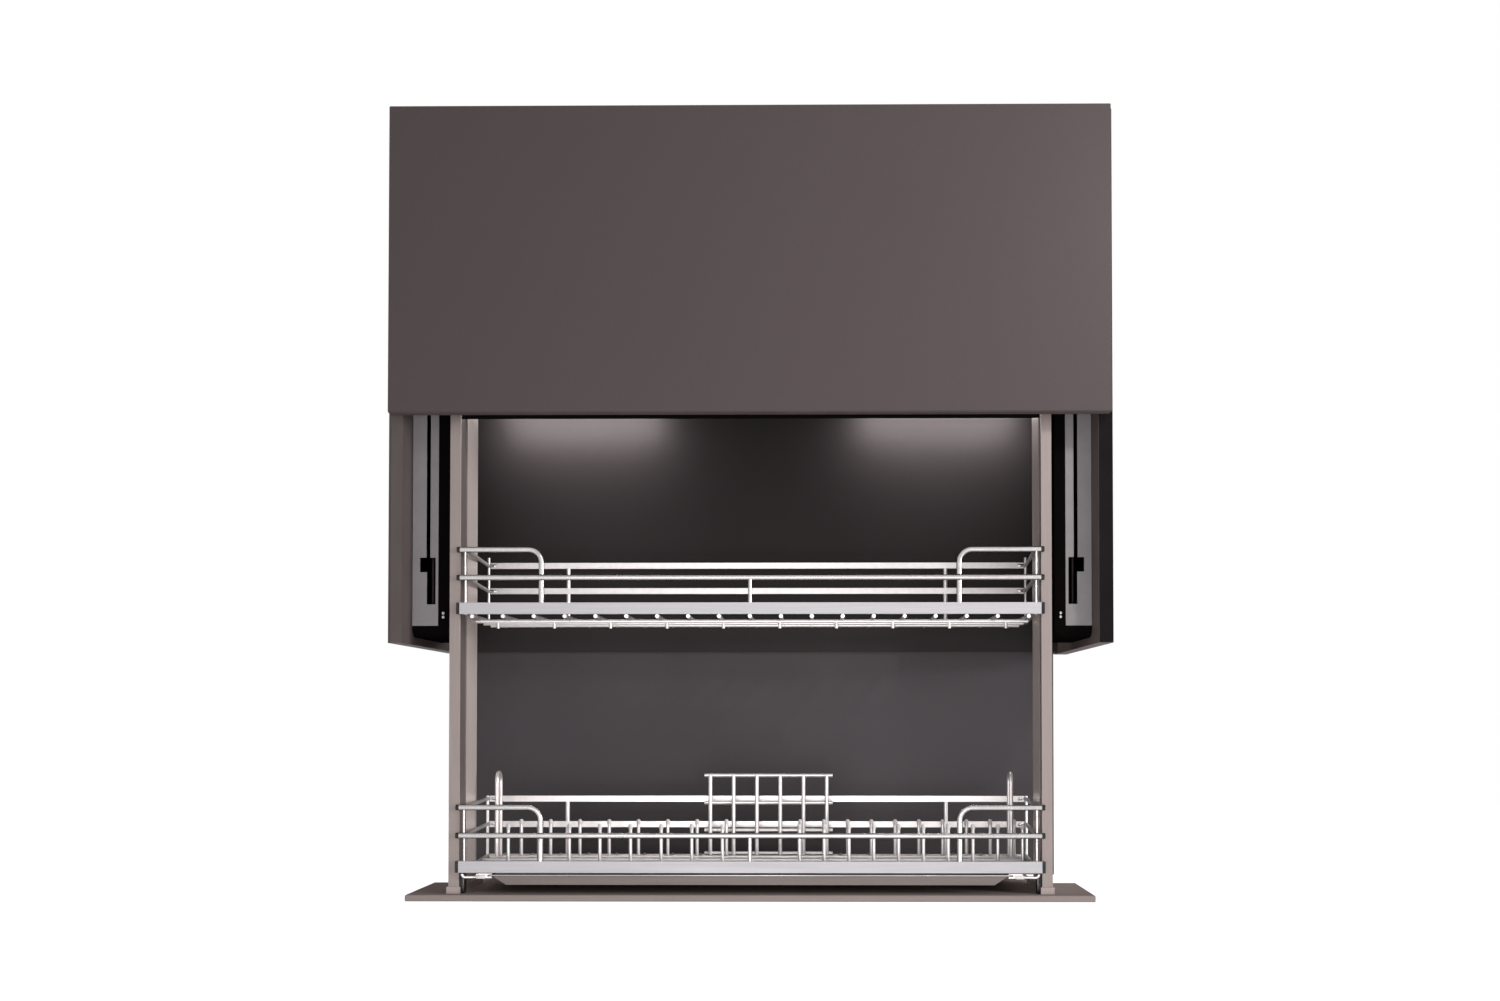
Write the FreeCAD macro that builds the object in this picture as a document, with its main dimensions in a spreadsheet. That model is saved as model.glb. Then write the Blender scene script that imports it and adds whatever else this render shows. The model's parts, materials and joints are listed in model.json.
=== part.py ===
"""Electric pull-down cabinet rack: a wall cabinet whose door and dish rack are moved by motors.

Millimetres, +Z up, the front faces -Y. The origin is the centre of the four wall bolts, on the wall.
At rest the door is raised and the rack is lowered below the cabinet.
"""

import FreeCAD, Part
import math
import os
import Sketcher

doc = FreeCAD.newDocument("cabinet_rack")
sheet = doc.addObject("Spreadsheet::Sheet", "Sizes")

DIMENSIONS = {
    # The cabinet.
    "carcass_width": 900,
    "carcass_height": 665,
    "carcass_depth": 375,
    "side_thickness": 18,
    "top_thickness": 18,
    "edge_chamfer": 4,
    "back_recess": 17,
    "back_thickness": 8,
    "cover_thickness": 3,
    "cover_gap": 7,
    "cover_rise": 2.5,
    "fascia_thickness": 5,
    "fascia_overlap": 8,
    "bolt_rail_height": 60,
    "bolt_rail_inset": 35,
    "bolt_spacing": 600,
    "bolt_hole_radius": 4,
    # The door and what lifts it.
    "door_side_gap": 5,
    "door_height": 380,
    "door_thickness": 19,
    "door_gap": 3,
    "door_travel": 283,
    "door_chamfer": 0.8,
    "arm_thickness": 3,
    "arm_height": 60,
    "arm_rise": 115,
    "arm_flange": 18,
    "arm_flange_thickness": 2,
    "arm_notch_clearance": 2,
    "slider_depth": 32,
    "slider_setback": 4,
    "slider_clearance": 0.5,
    "spindle_radius": 4,
    "spindle_setback": 26,
    "spindle_end_gap": 0.3,
    "door_motor_radius": 17,
    "door_motor_length": 72,
    # The lift housings at the cabinet's two sides.
    "housing_side_gap": 0.5,
    "housing_front": 50,
    "housing_depth": 155,
    "housing_width": 47,
    "housing_wall": 2,
    "housing_lip": 14,
    "housing_foot": 24,
    "housing_top_gap": 7,
    "boot_bottom": 9.5,
    "slot_width": 5,
    "slot_inset": 20,
    "slot_end_margin": 12,
    "plate_gap": 0.2,
    "opening_bottom": 51.3,
    "opening_middle": 92.4,
    "opening_top": 110.9,
    "opening_inner_margin": 3.4,
    "opening_narrow_width": 11.2,
    "opening_wide_width": 20,
    "housing_screw_radius": 1.7,
    "housing_screw_pitch": 5,
    "screw_rise": 11,
    "screw_head": 0.8,
    "screw_side_margin": 6.3,
    "top_screw_drop": 20,
    "top_screw_pitch": 40,
    "buffer_radius": 5,
    "buffer_side_gap": 8,
    "buffer_gap": 1,
    # The rack's drive.
    "shaft_radius": 6,
    "shaft_overhang": 3,
    "shaft_depth": 165,
    "shaft_height": 605,
    "idler_height": 56,
    "pulley_radius": 14,
    "pulley_width": 12,
    "pulley_inset": 19,
    "belt_thickness": 1.5,
    "belt_gap": 0.3,
    "idler_pin_radius": 4,
    "running_gap": 0.05,
    "bearing_radius": 11,
    "bearing_inner_reach": 3,
    "bearing_outer_reach": 2,
    "guide_rod_radius": 5,
    "guide_rod_depth": 112,
    "guide_rod_inset": 33,
    "carriage_rise": 95,
    "carriage_height": 150,
    "carriage_clearance": 2,
    "carriage_front_wall": 6,
    "carriage_belt_gap": 3,
    "neck_setback": 12,
    "neck_depth": 16,
    "clamp_height": 30,
    "clamp_wall": 3,
    "gearbox_width": 80,
    "gearbox_height": 57,
    "gearbox_depth": 88,
    "gearbox_front_wall": 2,
    "motor_radius": 24,
    "motor_length": 150,
    "motor_inset": 4,
    "control_width": 180,
    "control_depth": 85,
    "control_height": 45,
    "control_side_margin": 192,
    "gland_radius": 8,
    "gland_bore_radius": 4,
    "gland_clearance": 0.1,
    "gland_flange_width": 3,
    "gland_flange_thickness": 4,
    "gland_tail": 6,
    "gland_drop": 105,
    # The rack's frame.
    "rack_travel": 320,
    "board_thickness": 8,
    "board_side_gap": 5.5,
    "board_front": 0.5,
    "board_wide_depth": 152,
    "board_rear_gap": 2,
    "board_chamfer": 1,
    "sheet_thickness": 2,
    "sheet_flange": 30,
    "sheet_rise": 40,
    "post_inset": 50.5,
    "post_front": 16,
    "post_depth": 131,
    "post_height": 634,
    "post_flange_width": 13,
    "post_flange_thickness": 3,
    "post_web": 4.7,
    "post_land": 1.6,
    "post_land_width": 62,
    "foot_height": 8.5,
    "foot_margin": 2,
    "cross_bar_height": 20,
    "cross_bar_depth": 30,
    "cross_bar_setback": 38,
    # The two wire baskets.
    "basket_drop": 321.5,
    "bar_bottom": 36.3,
    "bar_height": 14.2,
    "bar_depth": 8,
    "basket_front_margin": 14,
    "cap_length": 4,
    "rail_radius": 3.5,
    "mid_rail_height": 82,
    "handle_height": 117,
    "handle_reach": 101.5,
    "handle_bend": 16,
    "rail_gap": 0.2,
    "corner_wire_margin": 6,
    "thin_wire_radius": 1.5,
    "wire_radius": 2.5,
    "wire_gap": 0.1,
    "floor_gap": 0.2,
    "weld_depth": 1.5,
    "basket_depth": 218,
    "rear_margin": 5,
    "rear_bar_height": 8,
    "rear_bar_depth": 4,
    "rear_post_top": 128,
    "rear_post_radius": 2,
    "rear_rail_radius": 3,
    "rear_rail_rise": 2,
    "rear_upright_radius": 2.8,
    "rear_upright_offset": 1,
    "rear_end_gap": 0.3,
    "floor_wire_pitch": 38.5,
    "floor_side_margin": 10,
    "floor_front_cover": 6.5,
    "pin_pitch": 72,
    "pin_radius": 2,
    "pin_drop": 9,
    "plate_floor_lift": 6.4,
    # What the lower basket carries.
    "peg_radius": 2.2,
    "peg_top": 228,
    "peg_side_margin": 52,
    "left_peg_pitch": 39,
    "right_peg_first": 61,
    "right_peg_margin": 12,
    "right_peg_pitch": 31.5,
    "front_peg_depth": 60,
    "rear_peg_depth": 150,
    "divider_depth": 187,
    "divider_pitch": 31.5,
    "divider_columns": 6,
    "divider_row_end": 8,
    "divider_weld": 1.8,
    "divider_left": 61,
    "divider_row_pitch": 37,
    "divider_top": 168.5,
    "divider_wire_radius": 2.6,
    "hoop_side_margin": 24,
    "hoop_width": 24,
    "hoop_bend": 11.5,
    "hoop_top": 163,
    "tray_side_margin": 50,
    "tray_rim": 8,
    "tray_slope": 16,
    "tray_front": 12,
    "tray_depth": 196,
    "tray_height": 12,
    "tray_wall": 1.4,
    "tray_drop": 3.2,
    "runner_width": 17,
    "runner_gap": 0.4,
    "runner_overlap": 5,
    "runner_lip": 2,
    "runner_top": 1.5,
    "runner_rear_reach": 3,
    "bracket_radius": 1.7,
    "bracket_margin": 4,
    "bracket_bend": 4,
    # The cabinet lamp.
    "lamp_side_margin": 47,
    "lamp_depth": 22,
    "lamp_height": 14,
    "lamp_wall": 1.6,
    "lamp_rise": 350,
    "lamp_inner_end": 145,
    "diffuser_margin": 10,
    "diffuser_recess": 0.5,
}

for row, (alias, number) in enumerate(DIMENSIONS.items(), start=1):
    sheet.set(f"A{row}", alias)
    sheet.set(f"B{row}", str(number))
    sheet.setAlias(f"B{row}", alias)
doc.recompute()


class Length:
    """A size with its formula in the sheet's words and its present value."""

    def __init__(self, formula, value):
        self.formula = formula
        self.value = value

    def combined(self, sign, other, value):
        return Length(f"({self.formula} {sign} {other.formula})", value)

    def __add__(self, other):
        other = length_of(other)
        return self.combined("+", other, self.value + other.value)

    def __sub__(self, other):
        other = length_of(other)
        return self.combined("-", other, self.value - other.value)

    def __mul__(self, other):
        other = length_of(other)
        return self.combined("*", other, self.value * other.value)

    def __truediv__(self, other):
        other = length_of(other)
        return self.combined("/", other, self.value / other.value)

    def __radd__(self, other):
        return length_of(other) + self

    def __rsub__(self, other):
        return length_of(other) - self

    def __rmul__(self, other):
        return length_of(other) * self

    def __neg__(self):
        return length_of(0) - self


def length_of(number):
    if isinstance(number, Length):
        return number
    return Length(f"({float(number)!r})", float(number))


def size(alias):
    """The sheet's cell of that name."""
    return Length(f"Sizes.{alias}", float(sheet.get(alias)))


SIDES = {"left": -1, "right": 1}
VECTOR = FreeCAD.Vector
AXES = {"x": VECTOR(1, 0, 0), "y": VECTOR(0, 1, 0), "z": VECTOR(0, 0, 1)}

# Depths are measured back from the cabinet's front, heights up from its bottom.
CARCASS_WIDTH = size("carcass_width")
CARCASS_HEIGHT = size("carcass_height")
CARCASS_DEPTH = size("carcass_depth")
HANG_HEIGHT = CARCASS_HEIGHT / 2
HALF_WIDTH = CARCASS_WIDTH / 2
INNER_HALF = HALF_WIDTH - size("side_thickness")
CEILING = CARCASS_HEIGHT - size("top_thickness")
BACK_REAR = CARCASS_DEPTH - size("back_recess")
BACK_FRONT = BACK_REAR - size("back_thickness")
COVER_REAR = BACK_FRONT - size("cover_gap")
COVER_FRONT = COVER_REAR - size("cover_thickness")

# Lift housings, from the side panels inwards.
HOUSING_OUTER = INNER_HALF - size("housing_side_gap")
HOUSING_INNER = HOUSING_OUTER - size("housing_width")
HOUSING_FRONT = size("housing_front")
HOUSING_REAR = HOUSING_FRONT + size("housing_depth")
HOUSING_FOOT = size("housing_foot")
HOUSING_TOP = CEILING - size("housing_top_gap")
HOUSING_WALL = size("housing_wall")
SLOT_SIDE = HOUSING_OUTER - size("slot_inset")
SPINDLE_DEPTH = HOUSING_FRONT + size("spindle_setback")
ROD_SIDE = HOUSING_OUTER - size("guide_rod_inset")
ROD_DEPTH = size("guide_rod_depth")
PULLEY_SIDE = HOUSING_OUTER - size("pulley_inset")
SHAFT_DEPTH = size("shaft_depth")
SHAFT_HEIGHT = size("shaft_height")
IDLER_HEIGHT = size("idler_height")

# The rack, at rest one travel below the closed position.
BOARD_BOTTOM = -size("rack_travel")
BOARD_TOP = BOARD_BOTTOM + size("board_thickness")
BOARD_HALF = INNER_HALF - size("board_side_gap")
BOARD_REAR = COVER_FRONT - size("board_rear_gap")
POST_OUTER = BOARD_HALF - size("post_inset")
POST_FRONT = size("post_front")
POST_REAR = POST_FRONT + size("post_depth")
POST_INNER = POST_OUTER - size("post_web")
POST_TOP = BOARD_TOP + size("post_height")
CARRIAGE_BOTTOM = size("carriage_rise")
NECK_FRONT = ROD_DEPTH + size("neck_setback")
NECK_REAR = NECK_FRONT + size("neck_depth")

# The baskets hang on the posts' fronts.
BASKET_HALF = POST_OUTER - size("basket_front_margin")
BAR_FRONT = POST_FRONT - size("bar_depth")
BAR_TOP = size("bar_bottom") + size("bar_height")
RAIL_RADIUS = size("rail_radius")
WIRE_GAP = size("wire_gap")
RAIL_DEPTH = POST_FRONT - RAIL_RADIUS - WIRE_GAP
REAR_HALF = POST_OUTER - size("rear_margin")
REAR_DEPTH = BAR_FRONT + size("basket_depth")
DROP = size("basket_drop")
WIRE_RADIUS = size("wire_radius")
THIN_RADIUS = size("thin_wire_radius")
FLOOR_HEIGHT = size("bar_bottom") - size("floor_gap") - WIRE_RADIUS
CROSS_STEP = WIRE_RADIUS * 2 - size("weld_depth")
REAR_RAIL_HEIGHT = size("bar_bottom") + size("rear_rail_rise")
CORNER_SIDE = BASKET_HALF - size("corner_wire_margin")

nodes = []


def bind(target, name, length):
    target.setExpression(name, length_of(length).formula)


def seat(target, side, depth, height):
    """Ties the target's place to sizes, from the cabinet's front and bottom."""
    bind(target, "Placement.Base.x", side)
    bind(target, "Placement.Base.y", length_of(depth) - CARCASS_DEPTH)
    bind(target, "Placement.Base.z", length_of(height) - HANG_HEIGHT)


def keep(target):
    """Marks a finished object as one sub-part of the cabinet."""
    nodes.append(target)
    return target


def mirrored(side, inner, outer):
    """The low X of something that spans inner to outer on that side."""
    return length_of(inner) if side > 0 else -length_of(outer)


def box(name, low, high):
    """A box between two corners, each given as side, depth and height."""
    block = doc.addObject("Part::Box", name)
    for edge, start, end in zip(("Length", "Width", "Height"), low, high):
        bind(block, edge, length_of(end) - start)
    seat(block, *low)
    return block


def side_box(name, side, inner, outer, low, high):
    """A box at one side: inner to outer across, low and high as depth and height."""
    start = mirrored(side, inner, outer)
    end = start + (length_of(outer) - inner)
    return box(name, (start, *low), (end, *high))


def cylinder(name, radius, length, axis, start):
    """A cylinder along an axis from a start point given as side, depth and height."""
    bar = doc.addObject("Part::Cylinder", name)
    bar.Placement = FreeCAD.Placement(VECTOR(), FreeCAD.Rotation(AXES["z"], AXES[axis]))
    bind(bar, "Radius", radius)
    bind(bar, "Height", length)
    seat(bar, *start)
    return bar


def fuse(name, shapes):
    joined = doc.addObject("Part::MultiFuse", name)
    joined.Shapes = shapes
    joined.Refine = True
    return joined


def cut(name, base, tools):
    """The base less its tools."""
    tool = tools[0] if len(tools) == 1 else fuse(f"{name}_tools", tools)
    removed = doc.addObject("Part::Cut", name)
    removed.Base = base
    removed.Tool = tool
    removed.Refine = True
    return removed


def group(name, members):
    """Separate solids that share one sub-part."""
    several = doc.addObject("Part::Compound", name)
    several.Links = members
    return several


PLANES = {"plan": "XY_Plane", "front": "XZ_Plane", "side": "YZ_Plane"}


def sketch_of(body, name, plane, outlines, circles):
    """A sketch whose every corner and circle is tied to the sheet."""
    sketch = body.newObject("Sketcher::SketchObject", name)
    origin = [f for f in body.Origin.OriginFeatures if f.Role == PLANES[plane]]
    sketch.AttachmentSupport = [(origin[0], "")]
    sketch.MapMode = "FlatFace"
    for outline in outlines:
        corners = [[length_of(number) for number in corner] for corner in outline]
        first = sketch.GeometryCount
        count = len(corners)
        for index in range(count):
            ends = (corners[index], corners[(index + 1) % count])
            points = [VECTOR(across.value, along.value, 0) for across, along in ends]
            sketch.addGeometry(Part.LineSegment(*points), False)
        for index, corner in enumerate(corners):
            edge = first + index
            following = first + (index + 1) % count
            sketch.addConstraint(Sketcher.Constraint("Coincident", edge, 2, following, 1))
            for kind, length in zip(("DistanceX", "DistanceY"), corner):
                rule = Sketcher.Constraint(kind, edge, 1, length.value)
                bind(sketch, f"Constraints[{sketch.addConstraint(rule)}]", length)
    for across, along, radius in circles:
        centre = [length_of(across), length_of(along)]
        point = VECTOR(centre[0].value, centre[1].value, 0)
        edge = sketch.addGeometry(Part.Circle(point, AXES["z"], length_of(radius).value), False)
        for kind, length in zip(("DistanceX", "DistanceY"), centre):
            rule = Sketcher.Constraint(kind, edge, 3, length.value)
            bind(sketch, f"Constraints[{sketch.addConstraint(rule)}]", length)
        rule = Sketcher.Constraint("Radius", edge, length_of(radius).value)
        bind(sketch, f"Constraints[{sketch.addConstraint(rule)}]", radius)
    return sketch


def profile(name, plane, outlines, thickness, start, circles=()):
    """A body padded from a sketch: plan rises, front runs back and side runs towards +X."""
    body = doc.addObject("PartDesign::Body", name)
    sketch = sketch_of(body, f"{name}_sketch", plane, outlines, circles)
    pad = body.newObject("PartDesign::Pad", f"{name}_pad")
    pad.Profile = sketch
    bind(pad, "Length", thickness)
    pad.Reversed = plane == "front"
    places = {"plan": (0, 0, start), "front": (0, start, 0), "side": (start, 0, 0)}
    seat(body, *places[plane])
    return body


def bevelled(body, distance):
    """Chamfers every edge of a padded body."""
    doc.recompute()
    pad = body.Tip
    bevel = body.newObject("PartDesign::Chamfer", f"{body.Name}_bevel")
    bevel.Base = (pad, [f"Edge{index + 1}" for index in range(len(pad.Shape.Edges))])
    bind(bevel, "Size", distance)
    body.Tip = bevel
    return body


def rectangle(left, low, right, high):
    return [(left, low), (right, low), (right, high), (left, high)]


def feature(name, shape):
    """A sub-part whose shape is worked out here, seated in the cabinet's frame."""
    part = doc.addObject("Part::Feature", name)
    part.Shape = shape
    part.Placement = FreeCAD.Placement(
        VECTOR(0, -CARCASS_DEPTH.value, -HANG_HEIGHT.value), FreeCAD.Rotation()
    )
    return part


def vector(*numbers):
    return VECTOR(*[length_of(number).value for number in numbers])


def wire(radius, *points, bend=0):
    """A round wire through the points, its corners bent to an arc."""
    radius = length_of(radius).value
    bend = length_of(bend).value
    if len(points) == 2:
        run = points[1] - points[0]
        return Part.makeCylinder(radius, run.Length, points[0], run)
    edges = []
    start = points[0]
    for before, corner, after in zip(points, points[1:], points[2:]):
        arriving = (corner - before).normalize()
        leaving = (after - corner).normalize()
        turn = arriving.getAngle(leaving)
        setback = bend * math.tan(turn / 2)
        bend_start = corner - arriving * setback
        bend_end = corner + leaving * setback
        inward = (leaving - arriving).normalize()
        middle = corner + inward * (bend / math.cos(turn / 2) - bend)
        edges.append(Part.LineSegment(start, bend_start).toShape())
        edges.append(Part.Arc(bend_start, middle, bend_end).toShape())
        start = bend_end
    edges.append(Part.LineSegment(start, points[-1]).toShape())
    circle = Part.Circle(points[0], points[1] - points[0], radius)
    section = Part.Wire(circle.toShape())
    return Part.Wire(edges).makePipeShell([section], True, False)


def solid_box(low, high):
    run = high - low
    return Part.makeBox(run.x, run.y, run.z, low)


def welded(shapes):
    """The wires of one frame as one solid."""
    return shapes[0].multiFuse(shapes[1:]).removeSplitter()


def steps(first, last, pitch):
    """Even places from first to at most last."""
    count = int((last - first) / pitch + 1e-6) + 1
    return [first + pitch * index for index in range(count)]


# The cabinet's panels.


def side_panel(name, side):
    chamfer = size("edge_chamfer")
    outer = side * HALF_WIDTH
    inner = side * INNER_HALF
    outline = [
        (inner, 0),
        (outer - side * chamfer, 0),
        (outer, chamfer),
        (outer, CARCASS_DEPTH),
        (inner, CARCASS_DEPTH),
    ]
    return keep(profile(f"side_panel_{name}", "plan", [outline], CARCASS_HEIGHT, 0))


def top_panel():
    low = (-INNER_HALF, 0, CEILING)
    high = (INNER_HALF, BACK_REAR, CARCASS_HEIGHT)
    return keep(box("top_panel", low, high))


GLAND_HEIGHT = CARCASS_HEIGHT - size("gland_drop")
GLAND_SIDE = size("control_side_margin") - INNER_HALF
GLAND_HOLE_RADIUS = size("gland_radius") + size("gland_clearance")


def back_panel():
    outline = rectangle(-INNER_HALF, 0, INNER_HALF, CEILING)
    hole = (GLAND_SIDE, GLAND_HEIGHT, GLAND_HOLE_RADIUS)
    return keep(profile("back_panel", "front", [outline], size("back_thickness"), BACK_FRONT, [hole]))


def inner_back_cover():
    outline = rectangle(-INNER_HALF, size("cover_rise"), INNER_HALF, CEILING)
    hole = (GLAND_SIDE, GLAND_HEIGHT, GLAND_HOLE_RADIUS)
    thickness = size("cover_thickness")
    return keep(profile("inner_back_cover", "front", [outline], thickness, COVER_FRONT, [hole]))


ARM_TOP_OPEN = size("arm_rise") + size("arm_height") + size("door_travel")


def fascia_panel():
    bottom = size("door_height") - size("fascia_overlap")
    notch_half = size("arm_thickness") / 2 + size("arm_notch_clearance")
    notch_top = ARM_TOP_OPEN + size("arm_notch_clearance")
    left_out = -SLOT_SIDE - notch_half
    left_in = -SLOT_SIDE + notch_half
    outline = [
        (-INNER_HALF, bottom),
        (left_out, bottom),
        (left_out, notch_top),
        (left_in, notch_top),
        (left_in, bottom),
        (-left_in, bottom),
        (-left_in, notch_top),
        (-left_out, notch_top),
        (-left_out, bottom),
        (INNER_HALF, bottom),
        (INNER_HALF, CEILING),
        (-INNER_HALF, CEILING),
    ]
    return keep(profile("fascia_panel", "front", [outline], size("fascia_thickness"), 0))


def hanging_rails():
    rails = []
    height = size("bolt_rail_height")
    inset = size("bolt_rail_inset")
    for name, middle in (("lower", inset + height / 2), ("upper", CARCASS_HEIGHT - inset - height / 2)):
        outline = rectangle(-INNER_HALF, middle - height / 2, INNER_HALF, middle + height / 2)
        reach = size("bolt_spacing") / 2
        holes = [(side * reach, middle, size("bolt_hole_radius")) for side in (-1, 1)]
        rails.append(profile(f"{name}_rail", "front", [outline], size("back_recess"), BACK_REAR, holes))
    return keep(group("hanging_rails", rails))


# The lift housings.


def lift_housing(name, side):
    lip = HOUSING_INNER + size("housing_lip")
    front = HOUSING_FRONT + HOUSING_WALL
    inside = HOUSING_INNER + HOUSING_WALL
    outside = HOUSING_OUTER - HOUSING_WALL
    rear = HOUSING_REAR - HOUSING_WALL
    section = [
        (HOUSING_OUTER, front),
        (HOUSING_OUTER, HOUSING_REAR),
        (HOUSING_INNER, HOUSING_REAR),
        (HOUSING_INNER, HOUSING_FRONT),
        (lip, HOUSING_FRONT),
        (lip, front),
        (inside, front),
        (inside, rear),
        (outside, rear),
        (outside, front),
    ]
    outline = [(side * across, depth) for across, depth in section]
    shell = profile(f"housing_shell_{name}", "plan", [outline], HOUSING_TOP - HOUSING_FOOT, HOUSING_FOOT)
    clearance = size("carriage_clearance")
    neck_top = CARRIAGE_BOTTOM + size("carriage_height") + size("rack_travel")
    slot = side_box(
        f"neck_slot_{name}",
        side,
        HOUSING_INNER - 1,
        inside + 1,
        (NECK_FRONT - clearance, CARRIAGE_BOTTOM - clearance),
        (NECK_REAR + clearance, neck_top + clearance),
    )
    hole_start = mirrored(side, HOUSING_INNER - 1, inside + 1)
    hole = cylinder(
        f"shaft_hole_{name}",
        size("bearing_radius"),
        HOUSING_WALL + 2,
        "x",
        (hole_start, SHAFT_DEPTH, SHAFT_HEIGHT),
    )
    return keep(cut(f"lift_housing_{name}", shell, [slot, hole]))


def slot_plate(name, side):
    """The grey front of a housing, with its slot and the opening that the door's arm enters by."""
    inner = HOUSING_INNER + size("housing_lip") + size("plate_gap")
    half_slot = size("slot_width") / 2
    opening_in = inner + size("opening_inner_margin")
    opening_step = opening_in + size("opening_narrow_width")
    opening_out = opening_in + size("opening_wide_width")
    slot_top = HOUSING_TOP - size("slot_end_margin")
    plate = [
        (inner, HOUSING_FOOT),
        (HOUSING_OUTER, HOUSING_FOOT),
        (HOUSING_OUTER, HOUSING_TOP),
        (inner, HOUSING_TOP),
    ]
    opening = [
        (opening_in, size("opening_bottom")),
        (opening_step, size("opening_bottom")),
        (opening_step, size("opening_middle")),
        (opening_out, size("opening_middle")),
        (opening_out, size("opening_top")),
        (SLOT_SIDE + half_slot, size("opening_top")),
        (SLOT_SIDE + half_slot, slot_top),
        (SLOT_SIDE - half_slot, slot_top),
        (SLOT_SIDE - half_slot, size("opening_top")),
        (opening_in, size("opening_top")),
    ]
    outlines = [[(side * across, height) for across, height in outline] for outline in (plate, opening)]
    return keep(profile(f"slot_plate_{name}", "front", outlines, HOUSING_WALL, HOUSING_FRONT))


def housing_boot(name, side):
    """The black foot under a housing, rounded at its front."""
    bottom = size("boot_bottom")
    radius = HOUSING_FOOT - bottom
    rounded_depth = HOUSING_FRONT + radius
    flat = side_box(
        f"boot_flat_{name}",
        side,
        HOUSING_INNER,
        HOUSING_OUTER,
        (rounded_depth, bottom),
        (HOUSING_REAR, HOUSING_FOOT),
    )
    nose_start = mirrored(side, HOUSING_INNER, HOUSING_OUTER)
    nose = cylinder(
        f"boot_nose_{name}", radius, size("housing_width"), "x", (nose_start, rounded_depth, HOUSING_FOOT)
    )
    quarter = side_box(
        f"boot_quarter_{name}",
        side,
        HOUSING_INNER,
        HOUSING_OUTER,
        (HOUSING_FRONT, bottom),
        (rounded_depth, HOUSING_FOOT),
    )
    rounded = doc.addObject("Part::Common", f"boot_round_{name}")
    rounded.Base = nose
    rounded.Tool = quarter
    return fuse(f"boot_{name}", [flat, rounded])


def housing_boots():
    return keep(group("housing_boots", [housing_boot(name, side) for name, side in SIDES.items()]))


def housing_screws():
    """Small screw heads on each housing's front lip."""
    screws = []
    across = HOUSING_INNER + size("housing_lip") - size("screw_side_margin")
    head = size("screw_head")
    low = HOUSING_FOOT + size("screw_rise")
    high = HOUSING_TOP - size("top_screw_drop")
    heights = (low, low + size("housing_screw_pitch"), high - size("top_screw_pitch"), high)
    for name, side in SIDES.items():
        for number, height in enumerate(heights, start=1):
            start = (side * across, HOUSING_FRONT - head, height)
            screws.append(cylinder(f"screw_{name}_{number}", size("housing_screw_radius"), head, "y", start))
    return keep(group("housing_screws", screws))


def door_buffers():
    """Rubber buffers behind the openings, standing on the boots."""
    buffers = []
    reach = HOUSING_INNER + HOUSING_WALL + size("buffer_radius") + size("buffer_side_gap")
    depth = HOUSING_FRONT + HOUSING_WALL + size("buffer_radius") + size("buffer_gap")
    for name, side in SIDES.items():
        start = (side * reach, depth, HOUSING_FOOT)
        height = size("opening_middle") - HOUSING_FOOT
        buffers.append(cylinder(f"buffer_{name}", size("buffer_radius"), height, "z", start))
    return keep(group("door_buffers", buffers))


# The door and its lift.


def door_panel():
    low = size("door_travel")
    half = HALF_WIDTH - size("door_side_gap")
    outline = rectangle(-half, low, half, low + size("door_height"))
    front = -(size("door_gap") + size("door_thickness"))
    panel = profile("door_panel", "front", [outline], size("door_thickness"), front)
    return keep(bevelled(panel, size("door_chamfer")))


ARM_BOTTOM = size("door_travel") + size("arm_rise")
ARM_TOP = ARM_BOTTOM + size("arm_height")
SLIDER_FRONT = HOUSING_FRONT + HOUSING_WALL + size("slider_setback")


def door_arms():
    """Bent plates that reach from the door's back through the slots to the sliders."""
    arms = []
    for name, side in SIDES.items():
        half = size("arm_thickness") / 2
        door_back = -size("door_gap")
        web = side_box(
            f"arm_web_{name}",
            side,
            SLOT_SIDE - half,
            SLOT_SIDE + half,
            (door_back, ARM_BOTTOM),
            (SLIDER_FRONT, ARM_TOP),
        )
        flange = side_box(
            f"arm_flange_{name}",
            side,
            SLOT_SIDE + half - size("arm_flange"),
            SLOT_SIDE + half,
            (door_back, ARM_BOTTOM),
            (door_back + size("arm_flange_thickness"), ARM_TOP),
        )
        arms.append(fuse(f"arm_{name}", [web, flange]))
    return keep(group("door_arms", arms))


def door_sliders():
    """Nut blocks that ride on the spindles inside the housings."""
    sliders = []
    clearance = HOUSING_WALL + size("slider_clearance")
    for name, side in SIDES.items():
        block = side_box(
            f"slider_block_{name}",
            side,
            HOUSING_INNER + clearance,
            HOUSING_OUTER - clearance,
            (SLIDER_FRONT, ARM_BOTTOM),
            (SLIDER_FRONT + size("slider_depth"), ARM_TOP),
        )
        start = (side * SLOT_SIDE, SPINDLE_DEPTH, ARM_BOTTOM - 1)
        bore = cylinder(
            f"slider_bore_{name}",
            size("spindle_radius") + size("running_gap"),
            size("arm_height") + 2,
            "z",
            start,
        )
        sliders.append(cut(f"slider_{name}", block, [bore]))
    return keep(group("door_sliders", sliders))


DOOR_MOTOR_BOTTOM = HOUSING_TOP - size("door_motor_length")


def door_spindle(name, side):
    gap = size("spindle_end_gap")
    start = (side * SLOT_SIDE, SPINDLE_DEPTH, HOUSING_FOOT + gap)
    length = DOOR_MOTOR_BOTTOM - HOUSING_FOOT - gap * 2
    return keep(cylinder(f"door_spindle_{name}", size("spindle_radius"), length, "z", start))


def door_motors():
    motors = []
    for name, side in SIDES.items():
        start = (side * SLOT_SIDE, SPINDLE_DEPTH, DOOR_MOTOR_BOTTOM)
        length = size("door_motor_length")
        motors.append(cylinder(f"door_motor_{name}", size("door_motor_radius"), length, "z", start))
    return keep(group("door_motors", motors))


# The rack's drive: one gear motor, a cross shaft, and a belt in each housing.

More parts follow.
